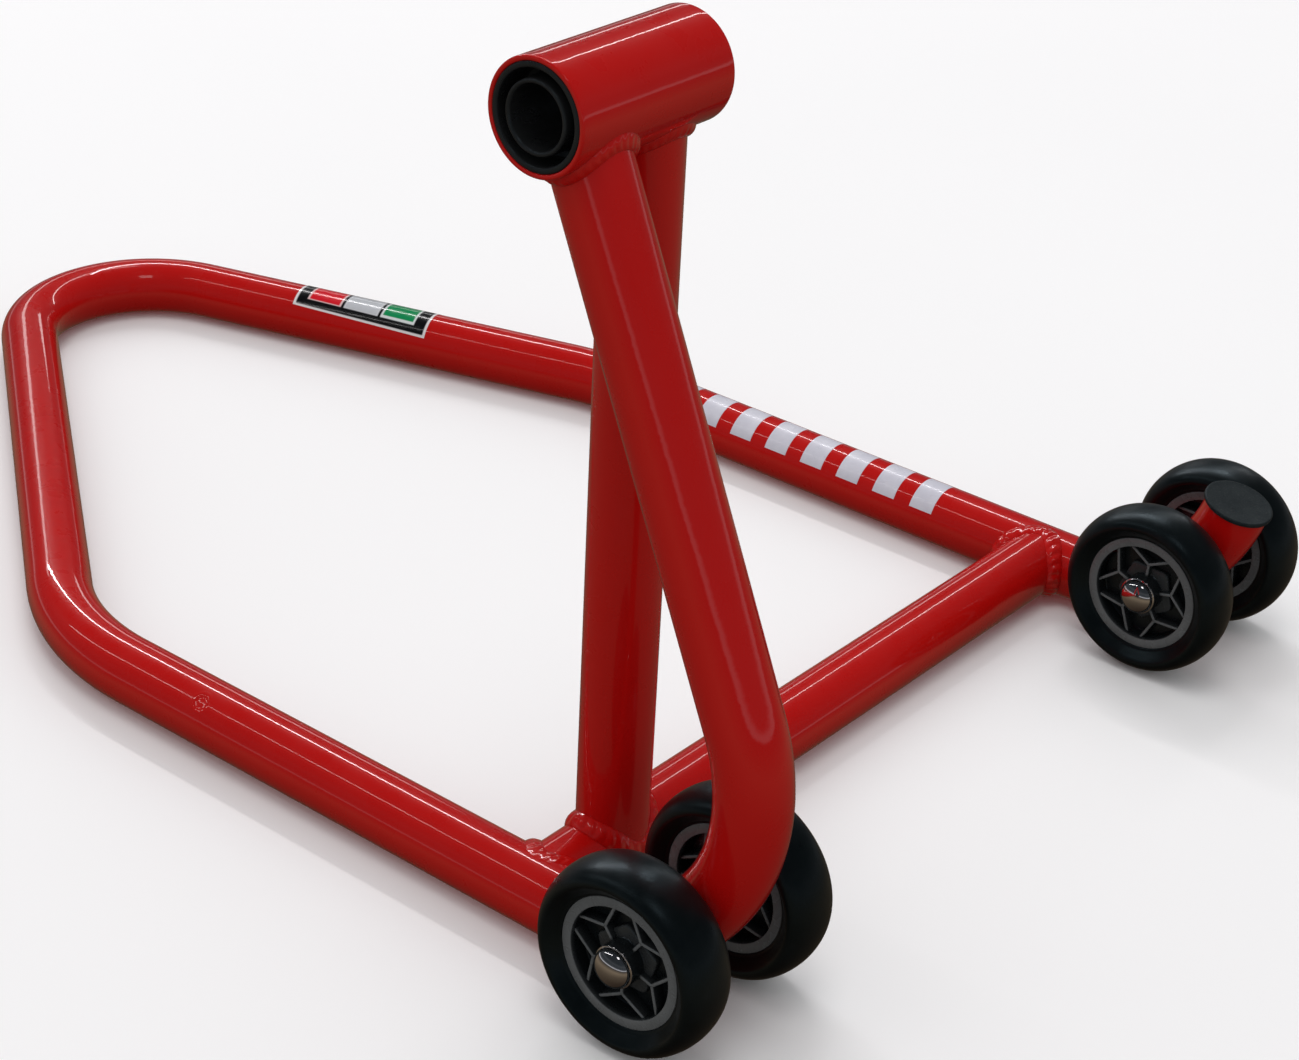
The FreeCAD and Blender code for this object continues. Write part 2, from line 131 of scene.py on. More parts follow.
def fillet_path(pts, radii, step_deg=1.6, step_mm=7.0, fine=()):
    """Centre-line samples of straight runs joined by tangent arcs.

    Returns points, a bend amount (0 straight, 1 in an arc) and, in the arcs, the direction out from the arc's centre
    (zero on the straights).
    """
    pts = [np.array(p, float) for p in pts]
    C, B, N = [pts[0]], [0.0], [np.zeros(3)]

    def run(a, b):
        L = np.linalg.norm(b - a)
        s = 0.0
        stops = []
        while s < L - 1e-6:
            q = a + (b - a) * (s / L)
            st = step_mm
            for c, half, fs in fine:
                if np.linalg.norm(q - c) < half:
                    st = fs
            s = min(L, s + st)
            stops.append(s)
        for s in stops:
            C.append(a + (b - a) * (s / L))
            B.append(0.0)
            N.append(np.zeros(3))

    cur = pts[0]
    for i in range(1, len(pts) - 1):
        b = pts[i]
        u = unit(pts[i - 1] - b)
        v = unit(pts[i + 1] - b)
        ang = math.acos(np.clip(u @ v, -1, 1))
        turn = math.pi - ang
        r = radii[i - 1]
        t = r * math.tan(turn / 2)
        s, e = b + u * t, b + v * t
        if np.linalg.norm(s - cur) > 1e-6:
            run(cur, s)
        c = b + unit(u + v) * (r / math.sin(ang / 2))
        e1 = unit(s - c)
        e2 = -u
        n = max(6, int(math.degrees(turn) / step_deg))
        for k in range(1, n + 1):
            w = turn * k / n
            q = c + r * (math.cos(w) * e1 + math.sin(w) * e2)
            C.append(q)
            B.append(math.sin(math.pi * k / n) ** 0.5 if k < n else 0.0)
            N.append(unit(q - c))
        cur = e
    run(cur, pts[-1])
    C = np.array(C)
    keep = [0] + [i for i in range(1, len(C)) if np.linalg.norm(C[i] - C[i - 1]) > 1e-5]
    return C[keep], np.array(B)[keep], np.array(N)[keep]


def tangents(C):
    T = np.zeros_like(C)
    T[1:-1] = C[2:] - C[:-2]
    T[0] = C[1] - C[0]
    T[-1] = C[-1] - C[-2]
    return T / np.linalg.norm(T, axis=1)[:, None]


def frames(C, T, first):
    """Rotation-minimising frames along the line."""
    n = first - T[0] * (first @ T[0])
    n = unit(n)
    out = [n]
    for i in range(1, len(C)):
        v1 = C[i] - C[i - 1]
        c1 = v1 @ v1
        rl = out[-1] - (2 / c1) * (v1 @ out[-1]) * v1
        tl = T[i - 1] - (2 / c1) * (v1 @ T[i - 1]) * v1
        v2 = T[i] - tl
        c2 = v2 @ v2
        r = rl if c2 < 1e-14 else rl - (2 / c2) * (v2 @ rl) * v2
        out.append(unit(r))
    N = np.array(out)
    return N, np.cross(T, N)


def tube(name, C, bend=None, bend_n=None, r=R_T, seg=112, first=(0, 0, 1), mat=None,
         cap0=True, cap1=True, shape=None, end0=None, end1=None):
    """Round tube along C; end0/end1 move an end ring's points along the tube."""
    T = tangents(C)
    N, Bn = frames(C, T, np.array(first, float))
    th = np.arange(seg) * 2 * math.pi / seg
    rings = []
    for i in range(len(C)):
        d = np.outer(np.cos(th), N[i]) + np.outer(np.sin(th), Bn[i])
        rr = np.full(seg, r)
        if bend is not None and bend[i] > 0:
            # a drawn tube flattens slightly in the plane of its bend
            q = d @ bend_n[i]
            rr = rr * (1 - 0.012 * bend[i] * q * q)
        ring = C[i] + d * rr[:, None]
        if shape is not None:
            ring = shape(ring, C[i], d, rr)
        rings.append(ring)
    if end0 is not None:
        rings[0] = end0(rings[0], -T[0])
    if end1 is not None:
        rings[-1] = end1(rings[-1], T[-1])
    V = np.vstack(rings)
    L = np.concatenate([[0], np.cumsum(np.linalg.norm(np.diff(C, axis=0), axis=1))])
    faces = []
    uvs = {}
    for i in range(len(C) - 1):
        for j in range(seg):
            a = i * seg + j
            b = i * seg + (j + 1) % seg
            c = (i + 1) * seg + (j + 1) % seg
            d2 = (i + 1) * seg + j
            uvs[len(faces)] = [(L[i] / 100, j / seg), (L[i] / 100, (j + 1) / seg),
                               (L[i + 1] / 100, (j + 1) / seg), (L[i + 1] / 100, j / seg)]
            faces.append((a, b, c, d2))
    nv = len(V)
    extra = []
    mids = [C[0] if end0 is None else end0(C[:1], -T[0])[0], C[-1] if end1 is None else end1(C[-1:], T[-1])[0]]
    for flag, base, mid, rev in ((cap0, 0, mids[0], True), (cap1, (len(C) - 1) * seg, mids[1], False)):
        if flag:
            extra.append(mid)
            c = nv + len(extra) - 1
            for j in range(seg):
                a, b = base + j, base + (j + 1) % seg
                uvs[len(faces)] = [(0, 0), (0.1, 0), (0.1, 0.1)]
                faces.append((b, a, c) if rev else (a, b, c))
    if extra:
        V = np.vstack([V, np.array(extra)])
    ob = make_obj(name, W(V), faces, uvs, mat)
    me = ob.data
    # hard edge where an end cap meets the wall
    me.set_sharp_from_angle(angle=math.radians(50))
    return ob


def cyl_hit(q, d, hp, hd, hr):
    """Where the line q + s d meets the cylinder, on the side away from -d."""
    w = q - hp
    wp = w - hd * (w @ hd)
    dp = d - hd * (d @ hd)
    A, Bq, Cq = dp @ dp, 2 * (wp @ dp), wp @ wp - hr * hr
    disc = Bq * Bq - 4 * A * Cq
    mid = -Bq / (2 * A)
    half = math.sqrt(max(disc, 0.0)) / (2 * A)
    return mid, half


def cope(hp, hd, hr, sink=0.4):
    """End shaper: each point slides along the tube until it meets the host."""
    hd = unit(hd)

    def f(ring, out):
        # out points from the tube toward the host; its surface is met first
        res = []
        for q in ring:
            mid, half = cyl_hit(q, -out, hp, hd, hr)
            res.append(q - out * (mid + half - sink))
        return np.array(res)
    return f


def revolve(name, cx, cy, cz, prof, seg=128, flip=1, closed=True, mat=None, sharp=35, parts=None):
    """Outline (x, r) turned about the x-parallel line through (cx, cy, cz)."""
    th = np.arange(seg) * 2 * math.pi / seg
    V, faces, uvs = [], [], {}
    poles = {}
    pr = np.array(prof, float)
    L = np.concatenate([[0], np.cumsum(np.linalg.norm(np.diff(pr, axis=0), axis=1))])
    idx = []
    for k, (x, r) in enumerate(pr):
        if r < 1e-6:
            idx.append([len(V)] * seg)
            V.append((cx + flip * x, cy, cz))
        else:
            idx.append(list(range(len(V), len(V) + seg)))
            for t in th:
                V.append((cx + flip * x, cy + r * math.cos(t), cz + r * math.sin(t)))
    m = len(pr)
    for k in range(m if closed else m - 1):
        k2 = (k + 1) % m
        l0 = L[k] / 20
        l1 = (L[k2] if k2 else L[k] + np.linalg.norm(pr[0] - pr[k])) / 20
        for j in range(seg):
            j2 = (j + 1) % seg
            f = [idx[k][j], idx[k][j2], idx[k2][j2], idx[k2][j]]
            u = [(j / seg, l0), ((j + 1) / seg, l0), ((j + 1) / seg, l1), (j / seg, l1)]
            ff, uu = [], []
            for a, b in zip(f, u):
                if a not in ff:
                    ff.append(a)
                    uu.append(b)
            if len(ff) < 3:
                continue
            if flip > 0:
                ff.reverse()
                uu.reverse()
            uvs[len(faces)] = uu
            faces.append(tuple(ff))
    if parts is not None:
        parts.append((np.array(V), faces, uvs))
        return None
    return make_obj(name, W(np.array(V)), faces, uvs, mat, sharp)


def join_parts(name, parts, mat, sharp=35):
    V, F, U = [], [], {}
    n = 0
    for v, f, u in parts:
        for i, ff in enumerate(f):
            U[len(F)] = u[i]
            F.append(tuple(n + a for a in ff))
        V.append(v)
        n += len(v)
    return make_obj(name, W(np.vstack(V)), F, U, mat, sharp)


# ------------------------------------------------------------------ materials
def new_mat(name):
    m = bpy.data.materials.new(name)
    m.use_nodes = True
    nt = m.node_tree
    nt.nodes.clear()
    out = nt.nodes.new("ShaderNodeOutputMaterial")
    b = nt.nodes.new("ShaderNodeBsdfPrincipled")
    nt.links.new(b.outputs[0], out.inputs[0])
    return m, nt, b


def node(nt, kind, **kw):
    n = nt.nodes.new(kind)
    for k, v in kw.items():
        if k in n.inputs:
            n.inputs[k].default_value = v
        else:
            setattr(n, k, v)
    return n


def noise_tex(nt, coord, scale, detail=4.0, rough=0.55, dist=0.0):
    n = node(nt, "ShaderNodeTexNoise")
    n.inputs["Scale"].default_value = scale
    n.inputs["Detail"].default_value = detail
    n.inputs["Roughness"].default_value = rough
    n.inputs["Distortion"].default_value = dist
    nt.links.new(coord, n.inputs["Vector"])
    return n.outputs["Fac"]


def ramp(nt, fac, stops):
    r = node(nt, "ShaderNodeValToRGB")
    el = r.color_ramp.elements
    el[0].position, el[0].color = stops[0][0], stops[0][1]
    el[1].position, el[1].color = stops[-1][0], stops[-1][1]
    for p, c in stops[1:-1]:
        e = el.new(p)
        e.color = c
    nt.links.new(fac, r.inputs[0])
    return r.outputs[0]


def mapr(nt, v, a, b, c, d):
    m = node(nt, "ShaderNodeMapRange")
    nt.links.new(v, m.inputs["Value"])
    m.inputs["From Min"].default_value = a
    m.inputs["From Max"].default_value = b
    m.inputs["To Min"].default_value = c
    m.inputs["To Max"].default_value = d
    return m.outputs["Result"]


def mixc(nt, fac, a, b, blend="MIX"):
    m = node(nt, "ShaderNodeMix", data_type="RGBA", blend_type=blend)
    for s, v in ((0, fac), (6, a), (7, b)):
        if isinstance(v, (float, int)):
            m.inputs[s].default_value = v
        elif isinstance(v, tuple):
            m.inputs[s].default_value = v
        else:
            nt.links.new(v, m.inputs[s])
    return m.outputs[2]


def mathn(nt, op, a, b=None, clamp=False):
    m = node(nt, "ShaderNodeMath", operation=op, use_clamp=clamp)
    for i, v in enumerate((a, b)):
        if v is None:
            continue
        if isinstance(v, (float, int)):
            m.inputs[i].default_value = v
        else:
            nt.links.new(v, m.inputs[i])
    return m.outputs[0]


def bump(nt, h, strength, dist, prev=None):
    b = node(nt, "ShaderNodeBump")
    b.inputs["Strength"].default_value = strength
    b.inputs["Distance"].default_value = dist
    nt.links.new(h, b.inputs["Height"])
    if prev is not None:
        nt.links.new(prev, b.inputs["Normal"])
    return b.outputs[0]


def coords(nt):
    return node(nt, "ShaderNodeTexCoord").outputs["Object"]


def g(v, a=1.0):
    return (v, v, v, a)


def paint_material(name, lumpy=0.0):
    m, nt, b = new_mat(name)
    co = coords(nt)
    big = noise_tex(nt, co, 7.0, 3.0, 0.5)
    fine = noise_tex(nt, co, 900.0, 2.0, 0.5)
    base = ramp(nt, big, [(0.30, (0.485, 0.0036, 0.0026, 1)), (0.52, (0.51, 0.0041, 0.0030, 1)), (0.75, (0.53, 0.0047, 0.0035, 1))])
    # fine mottling of the coat
    base = mixc(nt, mathn(nt, "MULTIPLY", fine, 0.05), base, (0.40, 0.002, 0.002, 1))
    # faint hair scratches, only in places
    scr = node(nt, "ShaderNodeMapping")
    scr.inputs["Scale"].default_value = (20.0, 420.0, 260.0)
    scr.inputs["Rotation"].default_value = (0.5, 0.2, 0.9)
    nt.links.new(co, scr.inputs["Vector"])
    sn = noise_tex(nt, scr.outputs[0], 3.0, 2.0, 0.6, 0.2)
    where = mapr(nt, noise_tex(nt, co, 11.0, 1.0), 0.56, 0.70, 0.0, 1.0)
    rub = mathn(nt, "MULTIPLY", mapr(nt, sn, 0.66, 0.74, 0.0, 1.0), where)
    nt.links.new(base, b.inputs["Base Color"])
    rgh = mapr(nt, noise_tex(nt, co, 60.0, 4.0), 0.3, 0.7, 0.24, 0.34)
    rgh = mathn(nt, "ADD", rgh, mathn(nt, "MULTIPLY", rub, 0.03), True)
    nt.links.new(rgh, b.inputs["Roughness"])
    b.inputs["Specular IOR Level"].default_value = 0.12
    b.inputs["Coat Weight"].default_value = 1.0
    b.inputs["Coat Roughness"].default_value = 0.035
    b.inputs["Coat IOR"].default_value = 1.5
    # orange peel and slow waviness of a sprayed coat
    peel = noise_tex(nt, co, 300.0, 1.5, 0.45)
    slow = noise_tex(nt, co, 50.0, 2.0, 0.5)
    nib = node(nt, "ShaderNodeTexVoronoi", feature="F1")
    nib.inputs["Scale"].default_value = 90.0
    nt.links.new(co, nib.inputs["Vector"])
    nibh = mapr(nt, nib.outputs["Distance"], 0.0, 0.05, 1.0, 0.0)
    n1 = bump(nt, slow, 0.06 + 0.25 * lumpy, 0.0012)
    n2 = bump(nt, peel, 0.045 + 0.2 * lumpy, 0.0004, n1)
    n3 = bump(nt, nibh, 0.02, 0.0002, n2)
    n4 = bump(nt, nibh, 0.015, 0.0002, n2)
    nt.links.new(n3, b.inputs["Normal"])
    nt.links.new(n4, b.inputs["Coat Normal"])
    return m


def tyre_material():
    m, nt, b = new_mat("tyre_rubber")
    co = coords(nt)
    n1 = noise_tex(nt, co, 45.0, 5.0, 0.6)
    base = ramp(nt, n1, [(0.3, (0.0016, 0.0026, 0.0029, 1)), (0.7, (0.0036, 0.0050, 0.0054, 1))])
    # pale dust that gathers in patches
    d = mapr(nt, noise_tex(nt, co, 160.0, 6.0, 0.7), 0.58, 0.8, 0.0, 0.06)
    base = mixc(nt, d, base, (0.05, 0.055, 0.055, 1))
    nt.links.new(base, b.inputs["Base Color"])
    r = mapr(nt, noise_tex(nt, co, 90.0, 5.0, 0.65), 0.3, 0.72, 0.27, 0.42)
    nt.links.new(r, b.inputs["Roughness"])
    b.inputs["Specular IOR Level"].default_value = 0.42
    b.inputs["Specular Tint"].default_value = (0.62, 0.88, 1.0, 1.0)
    grain = noise_tex(nt, co, 1500.0, 2.0, 0.6)
    pits = node(nt, "ShaderNodeTexVoronoi", feature="F1")
    pits.inputs["Scale"].default_value = 260.0
    nt.links.new(co, pits.inputs["Vector"])
    ph = mapr(nt, pits.outputs["Distance"], 0.0, 0.16, -1.0, 0.0)
    a = bump(nt, grain, 0.16, 0.0002)
    c = bump(nt, ph, 0.10, 0.0002, a)
    nt.links.new(c, b.inputs["Normal"])
    return m


def plastic_material(name, c0, c1, r0, r1, grain=1100.0, gs=0.14, spec=0.5, speck=0.0, lathe=0.0, pocket_shade=None):
    m, nt, b = new_mat(name)
    co = coords(nt)
    n1 = noise_tex(nt, co, 70.0, 5.0, 0.6)
    base = ramp(nt, n1, [(0.3, c0), (0.7, c1)])
    if pocket_shade:
        # painted shade: dark in the pockets, the base colour on the raised faces, as if the recesses were shaded
        at = node(nt, "ShaderNodeAttribute", attribute_name="unshaded_amount")
        unshaded_mix = mathn(nt, "POWER", at.outputs["Fac"], 1.8)
        unshaded_mix = mathn(nt, "MULTIPLY", unshaded_mix, mapr(nt, noise_tex(nt, co, 900.0, 3.0), 0.3, 0.7, 0.90, 1.0), True)
        base = mixc(nt, unshaded_mix, pocket_shade, base)
    if speck:
        s = mapr(nt, noise_tex(nt, co, 1300.0, 3.0, 0.6), 0.55, 0.75, 0.0, speck)
        base = mixc(nt, s, base, (0.16, 0.165, 0.17, 1))
    nt.links.new(base, b.inputs["Base Color"])
    nt.links.new(mapr(nt, noise_tex(nt, co, 120.0, 4.0), 0.3, 0.7, r0, r1), b.inputs["Roughness"])
    b.inputs["Specular IOR Level"].default_value = spec
    b.inputs["Specular Tint"].default_value = (0.66, 0.86, 1.0, 1.0)
    h = bump(nt, noise_tex(nt, co, grain, 3.0, 0.6), gs, 0.0002)
    if lathe:
        # faint turned or moulded rings round the bore
        w = node(nt, "ShaderNodeTexWave", wave_type="BANDS", bands_direction="Y")
        w.inputs["Scale"].default_value = 60.0
        w.inputs["Distortion"].default_value = 0.6
        uv = node(nt, "ShaderNodeTexCoord").outputs["UV"]
        nt.links.new(uv, w.inputs["Vector"])
        h = bump(nt, w.outputs["Fac"], lathe, 0.0001, h)
    nt.links.new(h, b.inputs["Normal"])
    return m


def metal_material(name, col, r0, r1, scale=240.0, bs=0.05, stretch=(1, 1, 1), tint=None):
    m, nt, b = new_mat(name)
    co = coords(nt)
    mp = node(nt, "ShaderNodeMapping")
    mp.inputs["Scale"].default_value = stretch
    nt.links.new(co, mp.inputs["Vector"])
    n1 = noise_tex(nt, mp.outputs[0], scale, 5.0, 0.6)
    d = tuple(c * 0.82 for c in col[:3]) + (1,)
    base = ramp(nt, n1, [(0.3, d), (0.7, col)])
    if tint:
        base = mixc(nt, mapr(nt, noise_tex(nt, co, 35.0, 3.0), 0.5, 0.75, 0.0, 0.35), base, tint)
    nt.links.new(base, b.inputs["Base Color"])
    b.inputs["Metallic"].default_value = 1.0
    nt.links.new(mapr(nt, noise_tex(nt, mp.outputs[0], scale * 0.6, 4.0), 0.3, 0.7, r0, r1), b.inputs["Roughness"])
    nt.links.new(bump(nt, n1, bs, 0.0001), b.inputs["Normal"])
    return m


RED = paint_material("red_paint")
RED_WELD = paint_material("red_paint_over_weld", 1.6)
TYRE = tyre_material()
# the wheel core's dark pocket colour below is painted shade for its recesses
CORE = plastic_material("wheel_core_plastic", (0.112, 0.117, 0.119, 1), (0.142, 0.148, 0.150, 1), 0.22, 0.32, 1200.0, 0.10, 0.55, pocket_shade=(0.0065, 0.0080, 0.0088, 1))
BUSH = plastic_material("bush_plastic", (0.010, 0.0105, 0.011, 1), (0.017, 0.0175, 0.018, 1), 0.24, 0.36, 1000.0, 0.07, 0.55, lathe=0.12)
PLUG = plastic_material("plug_plastic", (0.0075, 0.0105, 0.0105, 1), (0.0125, 0.0165, 0.0165, 1), 0.50, 0.64, 900.0, 0.45, 0.4, speck=0.22)
CHROME = metal_material("cap_chrome", (0.86, 0.86, 0.88, 1), 0.045, 0.10, 90.0, 0.015)
ZINC = metal_material("zinc_plate", (0.60, 0.60, 0.59, 1), 0.26, 0.40, 260.0, 0.05, (1, 1, 1), (0.62, 0.56, 0.40, 1))

# ---------------------------------------------------------------- frame tubes
front_dir = unit(FRONT_TOP - FRONT_CORNER)
front_turn = math.acos(-front_dir[1])
FRONT_R = 92.5
front_t = FRONT_R * math.tan(front_turn / 2)
START_Y = FRONT_CORNER[1] + front_t
BUTT = math.radians(3.2)
butt_pt = np.array([0, START_Y - FRONT_R * math.sin(BUTT), BASE_Z + FRONT_R * (1 - math.cos(BUTT))])
butt_dir = unit([0, -math.cos(BUTT), math.sin(BUTT)])

far_t = 90.0 * math.tan(FAR_TURN / 2)
far_corner = np.array([TRACK, 63.8 - far_t, BASE_Z])
far_dir = np.array([0, -math.cos(FAR_TURN), math.sin(FAR_TURN)])
far_end = far_corner + far_dir * (far_t + 0.4)

DIMPLE_N = unit([-0.62, 0, 0.78])
DIMPLE = np.array([0, 272.0, BASE_Z]) + DIMPLE_N * R_T

C, Bd, Nn = fillet_path(
    [(0, START_Y + 0.01, BASE_Z), (0, 377.3, BASE_Z), (283.3, 754.6, BASE_Z), (TRACK, 374.0, BASE_Z), far_corner, far_end],
    [140.0, 68.0, 150.0, 90.0], fine=[(np.array([0, 272.0, BASE_Z]), 12.0, 0.8)])
# the first degrees of the front bend belong to this tube
pre = [np.array([0, START_Y - FRONT_R * math.sin(a), BASE_Z + FRONT_R * (1 - math.cos(a))]) for a in np.linspace(BUTT, 0, 4)[:-1]]
C = np.vstack([pre, C])
Bd = np.concatenate([np.zeros(len(pre)), Bd])
Nn = np.vstack([np.zeros((len(pre), 3)), Nn])


def loop_shape(ring, c, d, rr):
    if abs(c[1] - 272.0) < 9.0 and c[0] < 30:
        dist = np.linalg.norm(ring - DIMPLE, axis=1)
        depth = np.where(dist < 4.2, 0.5 * np.clip((4.2 - dist) / 1.4, 0, 1) ** 1.2, 0.0)
        lip = 0.16 * np.exp(-((dist - 4.9) / 0.6) ** 2)
        ring = ring - d * (depth - lip)[:, None]
    return ring


loop = tube("handle_loop", C, Bd, Nn, mat=RED, shape=loop_shape, seg=128)
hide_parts("handle_loop_tube")

arc = []
na = 72
# the arc from the butt joint to the straight upright, in the plane of both
u0 = np.array([0.0, 1.0, 0.0])
ang = math.acos(np.clip(u0 @ front_dir, -1, 1))
cc = FRONT_CORNER + unit(u0 + front_dir) * (FRONT_R / math.sin(ang / 2))
e1 = unit(np.array([0, START_Y, BASE_Z]) - cc)
for k in range(na + 1):
    w = BUTT + (front_turn - BUTT) * k / na
    arc.append(cc + FRONT_R * (math.cos(w) * e1 + math.sin(w) * -u0))
nstr = 34
short = FRONT_TOP - front_dir * 27.5
seg_pts = [arc[-1] + (short - arc[-1]) * (k / nstr) for k in range(1, nstr + 1)] + [FRONT_TOP]
CF = np.vstack([arc, seg_pts])
BF = np.concatenate([[math.sin(math.pi * k / na) ** 0.5 if 0 < k < na else 0 for k in range(na + 1)], np.zeros(nstr + 1)])
NF = np.vstack([[unit(p - cc) for p in arc], np.zeros((nstr + 1, 3))])
X1 = np.array([1.0, 0, 0])
Y1 = np.array([0, 1.0, 0])
front = tube("front_upright", CF, BF, NF, mat=RED, first=(1, 0, 0), seg=128,
             end1=cope(FRONT_TOP, X1, REC_R))
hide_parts("front_upright_tube")

rear_dir = unit(REAR_TOP - REAR_FOOT)
CR = np.array([REAR_FOOT + (REAR_TOP - REAR_FOOT) * t for t in
               [0.0] + list(np.linspace(0.075, 0.915, 40)) + [1.0]])
rear = tube("rear_upright", CR, mat=RED, first=(1, 0, 0), seg=128,
            end0=cope(REAR_FOOT, X1, R_T), end1=cope(REAR_TOP, X1, REC_R))
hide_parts("rear_upright_tube")

CX = np.array([[x, CROSS_Y, BASE_Z] for x in [0.0] + list(np.linspace(17, TRACK - 17, 52)) + [TRACK]])
cross = tube("crossbar", CX, mat=RED, seg=128,
             end0=cope(np.array([0, CROSS_Y, BASE_Z]), Y1, R_T), end1=cope(np.array([TRACK, CROSS_Y, BASE_Z]), Y1, R_T))
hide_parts("crossbar_tube")

L = REC_X1 - REC_X0
rin = REC_R - 2.1
prof = []
prof += [(0.35, rin)] + [(0.0, rin + 0.35)] + [(0.0, REC_R - 0.9)]
prof += [(0.9 - 0.9 * math.cos(math.radians(a)), REC_R - 0.9 + 0.9 * math.sin(math.radians(a))) for a in (15, 30, 45, 60, 75, 90)]
prof += [(x, REC_R) for x in np.linspace(4, L - 4, 16)]
prof += [(L - 0.9 + 0.9 * math.sin(math.radians(a)), REC_R - 0.9 + 0.9 * math.cos(math.radians(a))) for a in (0, 15, 30, 45, 60, 75, 90)]
prof += [(L, rin + 0.35), (L - 0.35, rin)]
prof += [(x, rin) for x in np.linspace(L - 4, 4, 8)]
receiver = revolve("pin_receiver", REC_X0, REC_Y, REC_Z, prof, seg=160, mat=RED, sharp=60)
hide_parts("pin_receiver_tube")


# ---------------------------------------------------------------------- welds
def weld(name, node_name, hp, hd, hr, bp, bd, br, leg_b=4.2, leg_h=4.2, ease=4.5,
         seed=1, ripples=30, amp=0.22, lump=0.5, crown=0.75, floor=False):
    hd, bd = unit(hd), unit(bd)
    u = unit(hd - bd * (hd @ bd))
    v = np.cross(bd, u)
    N, M = 300, 17
    r = np.random.default_rng(seed)
    ph = r.uniform(0, 2 * math.pi, 12)
    am = r.uniform(0.3, 1.0, 12)

    def wob(a, k0):
        return sum(am[(k0 + i) % 12] * math.sin((i + 1) * a + ph[(k0 + i) % 12]) / (i + 1) ** 0.7 for i in range(6)) / 2.6

    rows = []
    for k in range(N):
        a = 2 * math.pi * k / N
        nb = u * math.cos(a) + v * math.sin(a)
        q = bp + nb * br
        mid, half = cyl_hit(q, bd, hp, hd, hr)
        s = mid + math.sqrt(half * half + ease * ease) - (ease * 0.35)
        P = q + bd * max(s, mid + half)
        w = P - hp
        nh = unit(w - hd * (w @ hd))
        proj = nb - nh * (nb @ nh)
        fall = -bd - nh * (-bd @ nh)
        th = proj + 0.55 * fall * (1 - min(1.0, np.linalg.norm(proj)))
        if np.linalg.norm(th) < 1e-6:
            th = fall
        th = unit(th)
        lb = leg_b * (1 + 0.20 * lump * wob(a, 0))
        lh = leg_h * (1 + 0.24 * lump * wob(a, 3))
        t1 = P + bd * lb - nb * 0.12
        t2 = P + th * lh
        w2 = t2 - hp
        ax2 = hd * (w2 @ hd)
        t2 = hp + ax2 + unit(w2 - ax2) * (hr - 0.12)
        outd = unit(nb + nh)
        cr = crown * (1 + 0.5 * lump * wob(a, 6))
        ctrl = 0.5 * (t1 + t2) + outd * cr * 2
        # keep a fillet, never a hollow below either wall
        row = []
        for j in range(M):
            x = j / (M - 1)
            p = (1 - x) ** 2 * t1 + 2 * x * (1 - x) * ctrl + x * x * t2
            e = math.sin(math.pi * x)
            rip = math.sin(ripples * a + 2.2 * (x - 0.5) ** 2 * 4 + 0.5 * wob(a, 2))
            rip = (0.5 + 0.5 * rip) ** 0.7
            p = p + outd * (amp * e * rip + 0.10 * lump * e * math.sin(7 * a + 3 * x + ph[1]))
            if floor and p[2] < 0.15:
                p = p + np.array([0, 0, 0.15 - p[2]])
            row.append(p)
        # a closed strip: come back inside the walls
        back = P - outd * 1.0
        row.append(back)
        rows.append(row)
    cols = M + 1
    V = np.array(rows).reshape(-1, 3)
    faces, uvs = [], {}
    for i in range(N):
        i2 = (i + 1) % N
        for j in range(cols):
            j2 = (j + 1) % cols
            uvs[len(faces)] = [(i / N, j / cols), ((i + 1) / N, j / cols), ((i + 1) / N, (j + 1) / cols), (i / N, (j + 1) / cols)]
            faces.append((i * cols + j, i2 * cols + j, i2 * cols + j2, i * cols + j2))
    ob = make_obj(name, W(V), faces, uvs, RED_WELD)
    bm_fix(ob)
    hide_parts(node_name)
    return ob


def bm_fix(ob):
    import bmesh
    bm = bmesh.new()
    bm.from_mesh(ob.data)
    bmesh.ops.recalc_face_normals(bm, faces=bm.faces)
    bm.to_mesh(ob.data)
    bm.free()
    ob.data.shade_smooth()


CA = np.array([0, CROSS_Y, BASE_Z])
CB = np.array([TRACK, CROSS_Y, BASE_Z])
welds = [
    weld("weld_bead_crossbar_pin_side", "weld_crossbar_pin_side", CA, Y1, R_T, CA, X1, R_T, 4.6, 4.6, seed=3, floor=True),
    weld("weld_bead_crossbar_far_side", "weld_crossbar_far_side", CB, Y1, R_T, CB, -X1, R_T, 6.0, 5.0, seed=5, lump=1.2, ripples=24, amp=0.55, crown=0.95, floor=True),
    weld("weld_bead_rear_foot", "weld_rear_upright_foot", REAR_FOOT, X1, R_T, REAR_FOOT, rear_dir, R_T, 5.4, 5.6, seed=8, lump=1.1, ripples=25, amp=0.5, crown=0.9),
    weld("weld_bead_rear_head", "weld_rear_upright_head", REAR_TOP, X1, REC_R, REAR_TOP, -rear_dir, R_T, 3.5, 3.3, seed=11, ripples=31, amp=0.22, crown=0.6),
    weld("weld_bead_front_head", "weld_front_upright_head", FRONT_TOP, X1, REC_R, FRONT_TOP, -front_dir, R_T, 3.6, 3.4, seed=13, ripples=31, amp=0.26, lump=0.8, crown=0.6),
]

